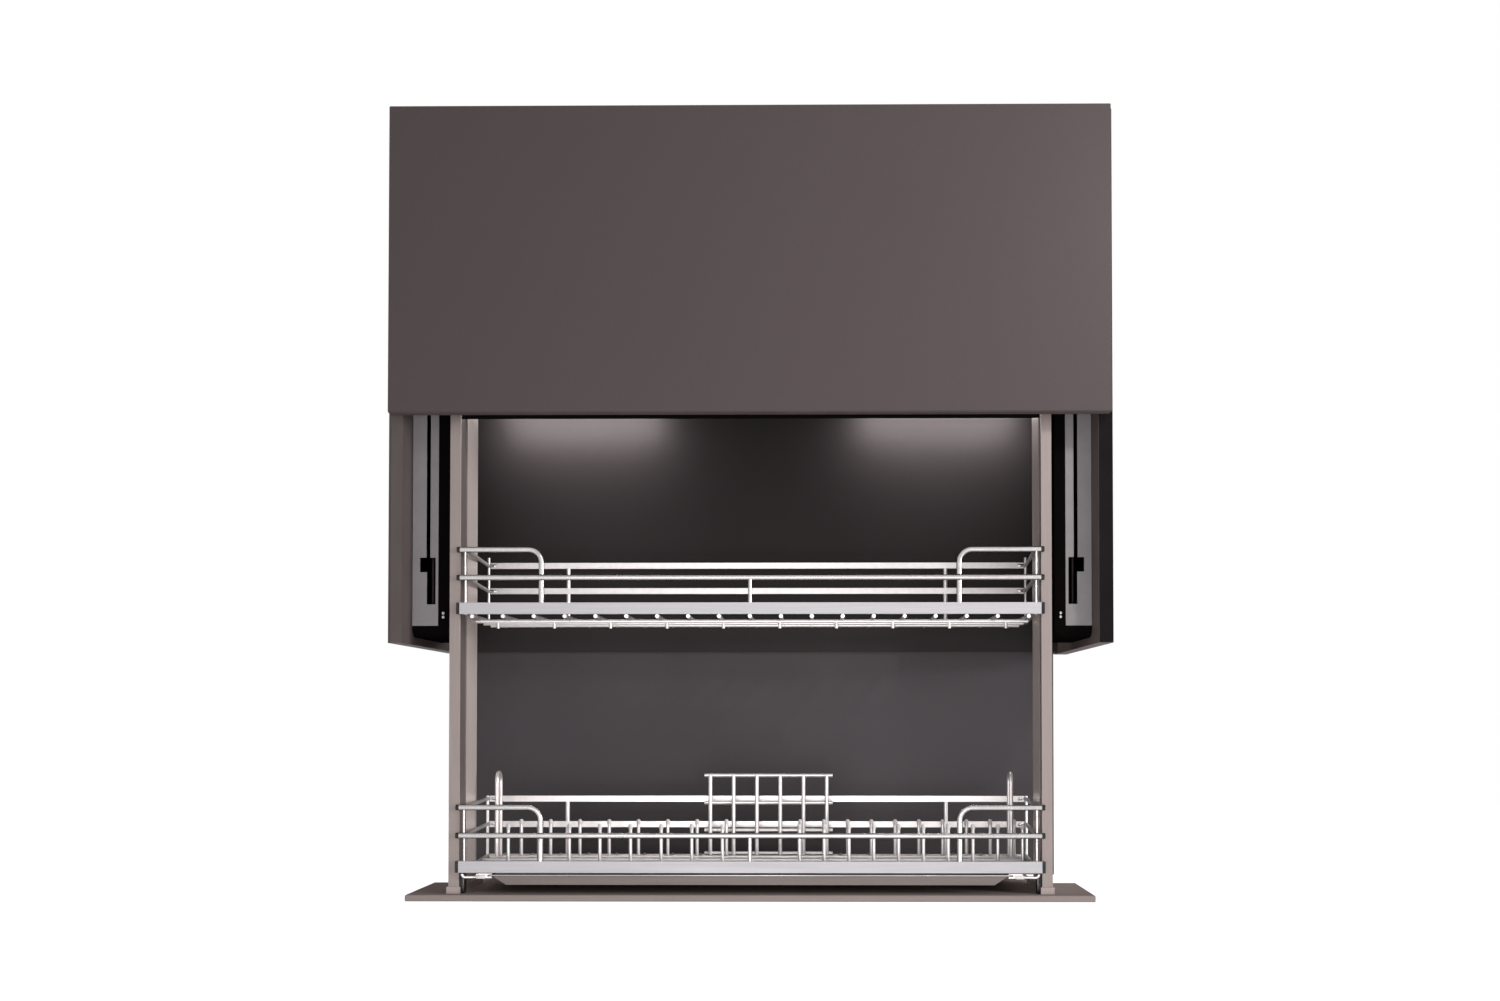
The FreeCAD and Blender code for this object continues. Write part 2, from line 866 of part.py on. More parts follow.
BELT_INNER = size("pulley_radius") + size("belt_gap")
BELT_OUTER = BELT_INNER + size("belt_thickness")
PULLEY_INNER = PULLEY_SIDE - size("pulley_width") / 2
PULLEY_OUTER = PULLEY_SIDE + size("pulley_width") / 2


def rack_drive_shaft():
    """The cross shaft with its two toothed pulleys pressed on."""
    end = PULLEY_OUTER + size("shaft_overhang")
    pieces = [cylinder("shaft_bar", size("shaft_radius"), 2 * end, "x", (-end, SHAFT_DEPTH, SHAFT_HEIGHT))]
    for name, side in SIDES.items():
        start = (mirrored(side, PULLEY_INNER, PULLEY_OUTER), SHAFT_DEPTH, SHAFT_HEIGHT)
        pulley = cylinder(f"pulley_{name}", size("pulley_radius"), size("pulley_width"), "x", start)
        pieces.append(pulley)
    return keep(fuse("rack_drive_shaft", pieces))


def shaft_bearings():
    """Flanged bushes that carry the shaft in the housings' inner walls."""
    bushes = []
    inner = HOUSING_INNER - size("bearing_inner_reach")
    outer = HOUSING_INNER + HOUSING_WALL + size("bearing_outer_reach")
    for name, side in SIDES.items():
        start = mirrored(side, inner, outer)
        ring = cylinder(
            f"bush_ring_{name}",
            size("bearing_radius"),
            outer - inner,
            "x",
            (start, SHAFT_DEPTH, SHAFT_HEIGHT),
        )
        bore = cylinder(
            f"bush_bore_{name}",
            size("shaft_radius") + size("running_gap"),
            outer - inner + 2,
            "x",
            (start - 1, SHAFT_DEPTH, SHAFT_HEIGHT),
        )
        bushes.append(cut(f"bush_{name}", ring, [bore]))
    return keep(group("shaft_bearings", bushes))


def rack_belts():
    """One closed toothed belt in each housing, round the pulley and the idler."""
    belts = []
    for name, side in SIDES.items():
        loops = []
        for label, radius in (("outer", BELT_OUTER), ("inner", BELT_INNER)):
            margin = 0 if label == "outer" else 1
            width = size("pulley_width") + 2 * margin
            start = mirrored(side, PULLEY_INNER - margin, PULLEY_OUTER + margin)
            ends = [
                cylinder(f"belt_{label}_{name}_{place}", radius, width, "x", (start, SHAFT_DEPTH, height))
                for place, height in (("top", SHAFT_HEIGHT), ("bottom", IDLER_HEIGHT))
            ]
            runs = side_box(
                f"belt_{label}_{name}_runs",
                side,
                PULLEY_INNER - margin,
                PULLEY_OUTER + margin,
                (SHAFT_DEPTH - radius, IDLER_HEIGHT),
                (SHAFT_DEPTH + radius, SHAFT_HEIGHT),
            )
            loops.append(fuse(f"belt_{label}_{name}", [*ends, runs]))
        belts.append(cut(f"belt_{name}", loops[0], [loops[1]]))
    return keep(group("rack_belts", belts))


def rack_idler(name, side):
    start = (mirrored(side, PULLEY_INNER, PULLEY_OUTER), SHAFT_DEPTH, IDLER_HEIGHT)
    wheel = cylinder(f"idler_wheel_{name}", size("pulley_radius"), size("pulley_width"), "x", start)
    bore = cylinder(
        f"idler_bore_{name}",
        size("idler_pin_radius") + size("running_gap"),
        size("pulley_width") + 2,
        "x",
        (start[0] - 1, SHAFT_DEPTH, IDLER_HEIGHT),
    )
    return keep(cut(f"rack_idler_{name}", wheel, [bore]))


def idler_pins():
    """Pins across the housings, on which the idlers turn."""
    pins = []
    inner = HOUSING_INNER + HOUSING_WALL
    outer = HOUSING_OUTER - HOUSING_WALL
    for name, side in SIDES.items():
        start = (mirrored(side, inner, outer), SHAFT_DEPTH, IDLER_HEIGHT)
        pins.append(cylinder(f"idler_pin_{name}", size("idler_pin_radius"), outer - inner, "x", start))
    return keep(group("idler_pins", pins))


def guide_rods():
    """Round rods that the rack's carriages slide on."""
    rods = []
    for name, side in SIDES.items():
        start = (side * ROD_SIDE, ROD_DEPTH, HOUSING_FOOT)
        length = HOUSING_TOP - HOUSING_FOOT
        rods.append(cylinder(f"guide_rod_{name}", size("guide_rod_radius"), length, "z", start))
    return keep(group("guide_rods", rods))


GEARBOX_TOP = SHAFT_HEIGHT + size("gearbox_height") / 2
GEARBOX_FRONT = SHAFT_DEPTH - size("bearing_radius") - size("gearbox_front_wall")


def rack_gear_motor():
    """The gear motor, whose gearbox sits round the shaft."""
    half = size("gearbox_width") / 2
    front = GEARBOX_FRONT
    low = (-half, front, SHAFT_HEIGHT - size("gearbox_height") / 2)
    case = box("gearbox_case", low, (half, front + size("gearbox_depth"), GEARBOX_TOP))
    motor_depth = front + size("gearbox_depth") - size("motor_radius") - size("motor_inset")
    motor = cylinder(
        "motor_can", size("motor_radius"), size("motor_length"), "x", (half - 1, motor_depth, SHAFT_HEIGHT)
    )
    body = fuse("gear_motor_body", [case, motor])
    bore_length = size("gearbox_width") + 2
    bore = cylinder(
        "gearbox_bore",
        size("shaft_radius") + size("running_gap"),
        bore_length,
        "x",
        (-half - 1, SHAFT_DEPTH, SHAFT_HEIGHT),
    )
    return keep(cut("rack_gear_motor", body, [bore]))


def motor_bracket():
    """The block that hangs the gear motor from the cabinet's top."""
    half = size("gearbox_width") / 2
    front = GEARBOX_FRONT
    low = (-half, front, GEARBOX_TOP)
    return keep(box("motor_bracket", low, (half, front + size("gearbox_depth"), CEILING)))


def control_box():
    half = size("control_width") / 2
    low = (GLAND_SIDE - half, COVER_FRONT - size("control_depth"), CEILING - size("control_height"))
    high = (GLAND_SIDE + half, COVER_FRONT, CEILING)
    return keep(box("control_box", low, high))


def cable_gland():
    """The mains lead's gland, through the inner cover and the back."""
    flange_thickness = size("gland_flange_thickness")
    flange_radius = size("gland_radius") + size("gland_flange_width")
    front = COVER_FRONT - flange_thickness
    length = BACK_REAR + size("gland_tail") - front
    start = (GLAND_SIDE, front, GLAND_HEIGHT)
    flange = cylinder("gland_flange", flange_radius, flange_thickness, "y", start)
    barrel = cylinder("gland_barrel", size("gland_radius"), length, "y", start)
    solid = fuse("gland_solid", [flange, barrel])
    bore_start = (GLAND_SIDE, front - 1, GLAND_HEIGHT)
    bore = cylinder("gland_bore", size("gland_bore_radius"), length + 2, "y", bore_start)
    return keep(cut("cable_gland", solid, [bore]))


# The cabinet lamp, a channel on the inner cover that shines down along it.

LAMP_BOTTOM = size("lamp_rise")
LAMP_TOP = LAMP_BOTTOM + size("lamp_height")
LAMP_FRONT = COVER_FRONT - size("lamp_depth")
LAMP_HALF = INNER_HALF - size("lamp_side_margin")


def lamp_channel():
    wall = size("lamp_wall")
    section = [
        (LAMP_FRONT, LAMP_BOTTOM),
        (LAMP_FRONT + wall, LAMP_BOTTOM),
        (LAMP_FRONT + wall, LAMP_TOP - wall),
        (COVER_FRONT - wall, LAMP_TOP - wall),
        (COVER_FRONT - wall, LAMP_BOTTOM),
        (COVER_FRONT, LAMP_BOTTOM),
        (COVER_FRONT, LAMP_TOP),
        (LAMP_FRONT, LAMP_TOP),
    ]
    half = LAMP_HALF
    return keep(profile("lamp_channel", "side", [section], 2 * half, -half))


def lamp_diffusers():
    strips = []
    wall = size("lamp_wall")
    for name, side in SIDES.items():
        strip = side_box(
            f"diffuser_{name}",
            side,
            size("lamp_inner_end"),
            LAMP_HALF - size("diffuser_margin"),
            (LAMP_FRONT + wall, LAMP_BOTTOM + size("diffuser_recess")),
            (COVER_FRONT - wall, LAMP_TOP - wall),
        )
        strips.append(strip)
    return keep(group("lamp_diffusers", strips))


# The rack's frame: posts, feet, bottom board, rear sheet, cross bar and carriages.


def side_post(name, side):
    """A post with a flat front flange and a web that runs back, with a raised land on its inside."""
    flange_in = POST_OUTER - size("post_flange_width")
    flange_rear = POST_FRONT + size("post_flange_thickness")
    land_front = POST_REAR - size("post_land_width")
    land = POST_INNER - size("post_land")
    section = [
        (flange_in, POST_FRONT),
        (POST_OUTER, POST_FRONT),
        (POST_OUTER, POST_REAR),
        (land, POST_REAR),
        (land, land_front),
        (POST_INNER, land_front),
        (POST_INNER, flange_rear),
        (flange_in, flange_rear),
    ]
    outline = [(side * across, depth) for across, depth in section]
    bottom = BOARD_TOP + size("foot_height")
    return keep(profile(f"side_post_{name}", "plan", [outline], POST_TOP - bottom, bottom))


def post_feet():
    feet = []
    margin = size("foot_margin")
    for name, side in SIDES.items():
        foot = side_box(
            f"foot_{name}",
            side,
            POST_OUTER - size("post_flange_width") - margin,
            POST_OUTER + margin,
            (POST_FRONT - margin, BOARD_TOP),
            (POST_REAR + margin, BOARD_TOP + size("foot_height")),
        )
        feet.append(foot)
    return keep(group("post_feet", feet))


def bottom_board():
    """The board that closes the cabinet from below, narrower behind the posts."""
    front = size("board_front")
    wide_rear = size("board_wide_depth")
    outline = [
        (-BOARD_HALF, front),
        (BOARD_HALF, front),
        (BOARD_HALF, wide_rear),
        (POST_OUTER, wide_rear),
        (POST_OUTER, BOARD_REAR),
        (-POST_OUTER, BOARD_REAR),
        (-POST_OUTER, wide_rear),
        (-BOARD_HALF, wide_rear),
    ]
    board = profile("board_blank", "plan", [outline], size("board_thickness"), BOARD_BOTTOM)
    bevelled(board, size("board_chamfer"))
    rebate_front = BOARD_REAR - size("sheet_flange")
    low = (-POST_OUTER - 1, rebate_front, BOARD_BOTTOM - 1)
    high = (POST_OUTER + 1, BOARD_REAR + 1, BOARD_BOTTOM + size("sheet_thickness"))
    rebate = box("board_rebate", low, high)
    return keep(cut("bottom_board", board, [rebate]))


SHEET_FRONT = COVER_REAR + (size("cover_gap") - size("sheet_thickness")) / 2


def rack_back_sheet():
    """A folded sheet behind the lowered rack, which slides up behind the inner cover."""
    thickness = size("sheet_thickness")
    flange_front = BOARD_REAR - size("sheet_flange")
    low = (-POST_OUTER, flange_front, BOARD_BOTTOM)
    flange = box("sheet_flange_plate", low, (POST_OUTER, SHEET_FRONT + thickness, BOARD_BOTTOM + thickness))
    low = (-BOARD_HALF, SHEET_FRONT, BOARD_BOTTOM)
    web = box("sheet_web", low, (BOARD_HALF, SHEET_FRONT + thickness, size("sheet_rise")))
    return keep(fuse("rack_back_sheet", [flange, web]))


def cross_bar():
    """The tube that joins the posts at the top."""
    setback = size("cross_bar_setback")
    low = (-POST_INNER, POST_FRONT + setback, POST_TOP - size("cross_bar_height"))
    high = (POST_INNER, POST_FRONT + setback + size("cross_bar_depth"), POST_TOP)
    return keep(box("cross_bar", low, high))


def rack_carriage(name, side):
    """The block on the guide rod, with a neck to the post and a clamp round the belt."""
    bottom = CARRIAGE_BOTTOM
    top = bottom + size("carriage_height")
    clearance = size("carriage_clearance")
    inside = HOUSING_INNER + HOUSING_WALL + clearance
    belt_front = SHAFT_DEPTH - BELT_OUTER
    belt_rear = SHAFT_DEPTH - BELT_INNER
    block_front = ROD_DEPTH - size("guide_rod_radius") - size("carriage_front_wall")
    block_rear = belt_front - size("carriage_belt_gap")
    block = side_box(
        f"carriage_block_{name}", side, inside, PULLEY_OUTER, (block_front, bottom), (block_rear, top)
    )
    neck = side_box(
        f"carriage_neck_{name}", side, POST_OUTER, inside + 1, (NECK_FRONT, bottom), (NECK_REAR, top)
    )
    clamp_wall = size("clamp_wall")
    clamp_middle = (bottom + top) / 2
    clamp_half = size("clamp_height") / 2
    clamp = side_box(
        f"carriage_clamp_{name}",
        side,
        PULLEY_INNER - clamp_wall,
        PULLEY_OUTER,
        (block_rear - 1, clamp_middle - clamp_half),
        (belt_rear + clamp_wall, clamp_middle + clamp_half),
    )
    body = fuse(f"carriage_body_{name}", [block, neck, clamp])
    bore = cylinder(
        f"carriage_bore_{name}",
        size("guide_rod_radius") + size("running_gap"),
        size("carriage_height") + 2,
        "z",
        (side * ROD_SIDE, ROD_DEPTH, bottom - 1),
    )
    gap = size("belt_gap")
    channel = side_box(
        f"carriage_channel_{name}",
        side,
        PULLEY_INNER - gap,
        PULLEY_OUTER + 1,
        (belt_front - gap, bottom - 1),
        (belt_rear + gap, top + 1),
    )
    return keep(cut(f"rack_carriage_{name}", body, [bore, channel]))


# The wire baskets. Each has the same frame; the lower one hangs one drop below the upper.


def basket_front(level, drop):
    """The flat front bar, the round guard rail above it and the two bent handles."""
    low = (-BASKET_HALF, BAR_FRONT, size("bar_bottom") - drop)
    high = (BASKET_HALF, POST_FRONT, BAR_TOP - drop)
    keep(box(f"{level}_front_bar", low, high))
    guard_height = size("mid_rail_height") - drop
    rail_ends = [vector(side * BASKET_HALF, RAIL_DEPTH, guard_height) for side in (-1, 1)]
    bar_top = BAR_TOP - drop
    wire_depth = POST_FRONT - THIN_RADIUS - WIRE_GAP
    pieces = [wire(RAIL_RADIUS, *rail_ends)]
    pieces.append(
        wire(
            WIRE_RADIUS,
            vector(0, RAIL_DEPTH, bar_top),
            vector(0, RAIL_DEPTH, guard_height),
        )
    )
    for side in (-1, 1):
        pieces.append(
            wire(
                THIN_RADIUS,
                vector(side * CORNER_SIDE, wire_depth, bar_top),
                vector(side * CORNER_SIDE, wire_depth, guard_height),
            )
        )
    keep(feature(f"{level}_guard_rail", welded(pieces)))
    handles = []
    handle_height = size("handle_height") - drop
    gap = size("rail_gap")
    for side in (-1, 1):
        handle_side = side * (BASKET_HALF - size("handle_reach"))
        handles.append(
            welded(
                [
                    wire(
                        RAIL_RADIUS,
                        vector(side * BASKET_HALF, RAIL_DEPTH, handle_height),
                        vector(handle_side, RAIL_DEPTH, handle_height),
                        vector(handle_side, RAIL_DEPTH, guard_height + RAIL_RADIUS + gap),
                        bend=size("handle_bend"),
                    ),
                    wire(
                        THIN_RADIUS,
                        vector(side * CORNER_SIDE, RAIL_DEPTH, guard_height + RAIL_RADIUS + gap),
                        vector(side * CORNER_SIDE, RAIL_DEPTH, handle_height),
                    ),
                ]
            )
        )
        handles.append(
            wire(
                RAIL_RADIUS,
                vector(handle_side, RAIL_DEPTH, bar_top),
                vector(handle_side, RAIL_DEPTH, guard_height - RAIL_RADIUS - gap),
            )
        )
    keep(feature(f"{level}_handles", Part.makeCompound(handles)))


def basket_side_guards(level, drop):
    """Two rails and a floor rail at each side, from the front to the rear corner post."""
    guards = []
    for side in (-1, 1):
        pieces = []
        for height in (size("handle_height"), size("mid_rail_height"), REAR_RAIL_HEIGHT):
            start = vector(side * CORNER_SIDE, POST_FRONT + WIRE_GAP, height - drop)
            end = vector(side * REAR_HALF, REAR_DEPTH, height - drop)
            pieces.append(wire(WIRE_RADIUS, start, end))
        foot = vector(side * REAR_HALF, REAR_DEPTH, size("bar_bottom") - drop)
        head = vector(side * REAR_HALF, REAR_DEPTH, size("rear_post_top") - drop)
        pieces.append(wire(size("rear_post_radius"), foot, head))
        guards.append(welded(pieces))
    keep(feature(f"{level}_side_guards", Part.makeCompound(guards)))


def basket_rear_guard(level, drop):
    """Two flat bars and two uprights along the rear, between the corner posts."""
    half = REAR_HALF - WIRE_RADIUS - size("rear_end_gap")
    bar = size("rear_bar_height")
    depth = size("rear_bar_depth")
    pieces = []
    for height in (size("handle_height"), size("mid_rail_height")):
        low = vector(-half, REAR_DEPTH - depth / 2, height - bar / 2 - drop)
        high = vector(half, REAR_DEPTH + depth / 2, height + bar / 2 - drop)
        pieces.append(solid_box(low, high))
    upright = BASKET_HALF - size("handle_reach")
    for side in (-1, 1):
        upright_depth = REAR_DEPTH + size("rear_upright_offset")
        foot_height = REAR_RAIL_HEIGHT + size("rear_rail_radius") + size("rail_gap")
        foot = vector(side * upright, upright_depth, foot_height - drop)
        head = vector(side * upright, upright_depth, size("handle_height") - drop)
        pieces.append(wire(size("rear_upright_radius"), foot, head))
    keep(feature(f"{level}_rear_guard", welded(pieces)))


def basket_floor(level, drop, lift, cross_side):
    """The floor grid: a rear bar and wires from front to rear, with cross wires on their underside
    or, where plates stand, on top."""
    floor_height = FLOOR_HEIGHT - drop + lift
    rear_height = REAR_RAIL_HEIGHT - drop
    rear_half = REAR_HALF - WIRE_RADIUS - size("rear_end_gap") * 2
    pieces = [
        wire(
            size("rear_rail_radius"),
            vector(-rear_half, REAR_DEPTH, rear_height),
            vector(rear_half, REAR_DEPTH, rear_height),
        )
    ]
    under_bar = cross_side < 0
    wire_front = POST_FRONT - size("floor_front_cover") if under_bar else POST_FRONT + WIRE_GAP
    side_limit = BASKET_HALF - size("floor_side_margin")
    pitch = size("floor_wire_pitch")
    for across in steps(0, side_limit.value, pitch.value):
        for side in (-1, 1) if across else (1,):
            start = vector(side * across, wire_front, floor_height)
            end = vector(side * across, REAR_DEPTH, floor_height)
            pieces.append(wire(WIRE_RADIUS, start, end))
    cross_height = floor_height + cross_side * CROSS_STEP
    middle_depth = (size("front_peg_depth") + size("rear_peg_depth")) / 2
    for depth in (size("front_peg_depth"), middle_depth, size("rear_peg_depth")):
        start = vector(-side_limit, depth, cross_height)
        pieces.append(wire(WIRE_RADIUS, start, vector(side_limit, depth, cross_height)))
    if under_bar:
        for across in steps(size("pin_pitch").value / 2, side_limit.value, size("pin_pitch").value):
            for side in (-1, 1):
                top = vector(side * across, size("front_peg_depth"), cross_height)
                bottom = top - vector(0, 0, size("pin_drop"))
                pieces.append(wire(size("pin_radius"), bottom, top))
    keep(feature(f"{level}_floor_grid", welded(pieces)))


def basket_end_caps():
    """Black plastic caps on the ends of the bars, guard rails and handles."""
    caps = []
    length = size("cap_length")
    start = BASKET_HALF + WIRE_GAP
    for drop in (length_of(0), DROP):
        for side in (-1, 1):
            outer = start + length
            low = vector(mirrored(side, start, outer), BAR_FRONT, size("bar_bottom") - drop)
            high = vector(mirrored(side, start, outer) + length, POST_FRONT, BAR_TOP - drop)
            caps.append(solid_box(low, high))
            for height in (size("mid_rail_height"), size("handle_height")):
                foot = vector(side * start, RAIL_DEPTH, height - drop)
                tip = vector(side * outer, RAIL_DEPTH, height - drop)
                caps.append(wire(RAIL_RADIUS, foot, tip))
    keep(feature("basket_end_caps", Part.makeCompound(caps)))


# What stands in the lower basket, and what hangs under it.


def peg_sides():
    """The pegs' places across: eight wide gaps on the left, narrower ones on the right."""
    left_limit = -size("divider_pitch").value
    left_first = size("peg_side_margin") - BASKET_HALF
    left = steps(left_first.value, left_limit, size("left_peg_pitch").value)
    right_limit = (BASKET_HALF - size("right_peg_margin")).value
    right = steps(size("right_peg_first").value, right_limit, size("right_peg_pitch").value)
    return left + right


PLATE_FLOOR_TOP = FLOOR_HEIGHT - DROP + size("plate_floor_lift") + WIRE_RADIUS
CROSS_TOP = PLATE_FLOOR_TOP + CROSS_STEP


def plate_pegs():
    """Round-topped pegs between which plates stand, in two rows."""
    pegs = []
    radius = size("peg_radius").value
    for depth in (size("front_peg_depth"), size("rear_peg_depth")):
        for across in peg_sides():
            foot = vector(across, depth, CROSS_TOP)
            head = vector(across, depth, -size("peg_top") - size("peg_radius"))
            stem = wire(radius, foot, head)
            pegs.append(stem.fuse(Part.makeSphere(radius, head)).removeSplitter())
    keep(feature("plate_pegs", Part.makeCompound(pegs)))


def divider_grid():
    """A wire grid at the middle of the rear and a tall hoop at each end."""
    radius = size("divider_wire_radius")
    depth = size("divider_depth")
    left = -size("divider_left")
    pitch = size("divider_pitch")
    columns = int(size("divider_columns").value)
    top = -size("divider_top") - radius
    bottom = PLATE_FLOOR_TOP + WIRE_GAP
    row_end = size("divider_row_end")
    row_depth = depth + radius * 2 - size("divider_weld")
    pieces = []
    for column in range(columns):
        across = left + pitch * column
        foot = vector(across, depth, bottom)
        pieces.append(wire(radius, foot, vector(across, depth, top)))
    right = left + pitch * (columns - 1)
    row_pitch = size("divider_row_pitch")
    for height in (top, top - row_pitch, top - row_pitch * 2, bottom + radius):
        start = vector(left - row_end, row_depth, height)
        end = vector(right + row_end, row_depth, height)
        pieces.append(wire(radius, start, end))
    solids = [welded(pieces)]
    half = size("hoop_width") / 2
    middle = size("rear_peg_depth") - half
    hoop_foot = CROSS_TOP + WIRE_GAP
    for side in (-1, 1):
        across = side * (BASKET_HALF - size("hoop_side_margin"))
        height = -size("hoop_top") - radius
        points = [
            vector(across, middle - half, hoop_foot),
            vector(across, middle - half, height),
            vector(across, middle + half, height),
            vector(across, middle + half, hoop_foot),
        ]
        solids.append(wire(radius, *points, bend=size("hoop_bend")))
    keep(feature("divider_grid", Part.makeCompound(solids)))


TRAY_TOP = size("bar_bottom") - size("tray_drop") - DROP
TRAY_FLOOR_DROP = size("tray_height")
TRAY_HALF = POST_OUTER - size("tray_side_margin")


def tray_section():
    """The tray's section from the front, inside and out, with sloped ends and a flat rim."""
    wall = size("tray_wall")
    rim = TRAY_HALF
    lip = rim - size("tray_rim")
    foot = lip - size("tray_slope")
    top = TRAY_TOP
    under = top - wall
    bottom = top - TRAY_FLOOR_DROP
    return [
        (-rim, under),
        (-lip - wall, under),
        (-foot - wall, bottom),
        (foot + wall, bottom),
        (lip + wall, under),
        (rim, under),
        (rim, top),
        (lip, top),
        (foot, bottom + wall),
        (-foot, bottom + wall),
        (-lip, top),
        (-rim, top),
    ]


def drip_tray():
    """The tray under the lower basket, which slides out to the front."""
    wall = size("tray_wall")
    front = size("tray_front")
    depth = size("tray_depth")
    trough = profile("tray_trough", "front", [tray_section()], depth, front)
    lip = TRAY_HALF - size("tray_rim")
    foot = lip - size("tray_slope")
    end_outline = [
        (-lip, TRAY_TOP),
        (-foot, TRAY_TOP - TRAY_FLOOR_DROP + wall / 2),
        (foot, TRAY_TOP - TRAY_FLOOR_DROP + wall / 2),
        (lip, TRAY_TOP),
    ]
    front_wall = profile("tray_front_wall", "front", [end_outline], wall, front)
    rear_wall = profile("tray_rear_wall", "front", [end_outline], wall, front + depth - wall)
    return keep(fuse("drip_tray", [trough, front_wall, rear_wall]))


def tray_hangers():
    """Runners that hold the tray's rim, on bent wires from the basket's front corners."""
    hangers = []
    gap = size("runner_gap")
    lip = size("runner_lip")
    inner = TRAY_HALF - size("runner_overlap")
    outer = inner + size("runner_width")
    under = TRAY_TOP - size("tray_wall")
    runner_top = TRAY_TOP + gap + size("runner_top")
    bracket_radius = size("bracket_radius")
    margin = size("bracket_margin")
    bend = size("bracket_bend")
    low = under - gap - lip / 2
    start = size("tray_front")
    end = start + size("tray_depth") + size("runner_rear_reach")
    head = size("bar_bottom") - bracket_radius - size("floor_gap") - DROP
    rear_head = REAR_RAIL_HEIGHT - size("rear_rail_radius") - size("rail_gap") - DROP
    rear_depth = REAR_DEPTH - size("rear_rail_radius")
    section = [
        (inner, under - gap - lip),
        (outer, under - gap - lip),
        (outer, runner_top),
        (inner, runner_top),
        (inner, TRAY_TOP + gap),
        (TRAY_HALF + gap, TRAY_TOP + gap),
        (TRAY_HALF + gap, under - gap),
        (inner, under - gap),
    ]
    corner = BASKET_HALF - margin
    for side in SIDES.values():
        points = [vector(side * across, start, height) for across, height in section]
        face = Part.Face(Part.makePolygon(points + points[:1]))
        runner = face.extrude(vector(0, end - start, 0))
        bracket = wire(
            bracket_radius,
            vector(side * corner, BAR_FRONT + margin, head),
            vector(side * corner, BAR_FRONT + margin, low),
            vector(side * (outer - bracket_radius), BAR_FRONT + margin * 2, low),
            bend=bend,
        )
        rear_side = outer - margin
        rear = wire(
            bracket_radius,
            vector(side * rear_side, end - margin, low),
            vector(side * rear_side, rear_depth, low),
            vector(side * rear_side, rear_depth, rear_head),
            bend=bend,
        )
        hangers.append(welded([runner, bracket, rear]))
    keep(feature("tray_hangers", Part.makeCompound(hangers)))


def build():
    for name, side in SIDES.items():
        side_panel(name, side)
        lift_housing(name, side)
        slot_plate(name, side)
        door_spindle(name, side)
        rack_idler(name, side)
        side_post(name, side)
        rack_carriage(name, side)
    top_panel()
    back_panel()
    inner_back_cover()
    fascia_panel()
    hanging_rails()
    housing_boots()
    housing_screws()
    door_buffers()
    door_panel()
    door_arms()
    door_sliders()
    door_motors()
    rack_drive_shaft()
    shaft_bearings()
    rack_belts()
    idler_pins()
    guide_rods()
    rack_gear_motor()
    motor_bracket()
    control_box()
    cable_gland()
    lamp_channel()
    lamp_diffusers()
    post_feet()
    bottom_board()
    rack_back_sheet()
    cross_bar()
    floors = {"upper": (length_of(0), -1), "lower": (size("plate_floor_lift"), 1)}
    for level, drop in (("upper", length_of(0)), ("lower", DROP)):
        basket_front(level, drop)
        basket_side_guards(level, drop)
        basket_rear_guard(level, drop)
        basket_floor(level, drop, *floors[level])
    basket_end_caps()
    plate_pegs()
    divider_grid()
    drip_tray()
    tray_hangers()


def check():
    """Stops if any object failed or any sub-part is not a sound solid."""
    for target in doc.Objects:
        if {"Invalid", "Error"} & set(target.State):
            raise RuntimeError(f"{target.Label} failed: {target.State}")
    for target in nodes:
        if target.Shape.isNull() or not target.Shape.isValid() or not target.Shape.Solids:
            raise RuntimeError(f"{target.Label} has no sound shape")


def export():
    os.makedirs("parts", exist_ok=True)
    for target in nodes:
        target.Shape.exportStep(f"parts/{target.Label}.step")


build()
doc.recompute()
check()
export()
print(f"{len(nodes)} sub-parts")
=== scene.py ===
"""Finishes, small pieces, light and camera for the electric pull-down cabinet rack."""

import json
import math

import bmesh
import bpy
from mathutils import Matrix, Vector


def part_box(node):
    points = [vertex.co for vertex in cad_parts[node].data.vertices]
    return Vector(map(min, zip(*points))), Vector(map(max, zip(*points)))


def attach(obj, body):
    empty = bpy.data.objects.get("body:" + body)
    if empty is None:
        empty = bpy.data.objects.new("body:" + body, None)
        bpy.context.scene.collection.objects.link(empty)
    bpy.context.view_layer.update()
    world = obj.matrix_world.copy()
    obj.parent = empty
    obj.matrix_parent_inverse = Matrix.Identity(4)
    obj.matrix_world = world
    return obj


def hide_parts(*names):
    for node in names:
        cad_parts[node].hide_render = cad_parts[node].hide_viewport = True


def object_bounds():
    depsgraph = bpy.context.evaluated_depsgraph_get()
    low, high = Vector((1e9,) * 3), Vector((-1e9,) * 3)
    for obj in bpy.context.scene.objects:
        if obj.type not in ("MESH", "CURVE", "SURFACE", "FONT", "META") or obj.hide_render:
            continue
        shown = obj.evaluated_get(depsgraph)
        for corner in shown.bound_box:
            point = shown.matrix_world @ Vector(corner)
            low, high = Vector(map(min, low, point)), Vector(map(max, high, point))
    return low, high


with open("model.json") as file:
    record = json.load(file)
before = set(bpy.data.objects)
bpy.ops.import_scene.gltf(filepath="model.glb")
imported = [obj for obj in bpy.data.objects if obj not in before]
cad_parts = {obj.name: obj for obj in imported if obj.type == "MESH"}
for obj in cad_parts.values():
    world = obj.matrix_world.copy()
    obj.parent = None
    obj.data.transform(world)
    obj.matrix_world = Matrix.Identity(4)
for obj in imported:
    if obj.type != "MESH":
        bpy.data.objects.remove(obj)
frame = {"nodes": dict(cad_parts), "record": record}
CAD_LOW, CAD_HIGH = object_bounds()
NODES = frame["nodes"]
MM = 0.001

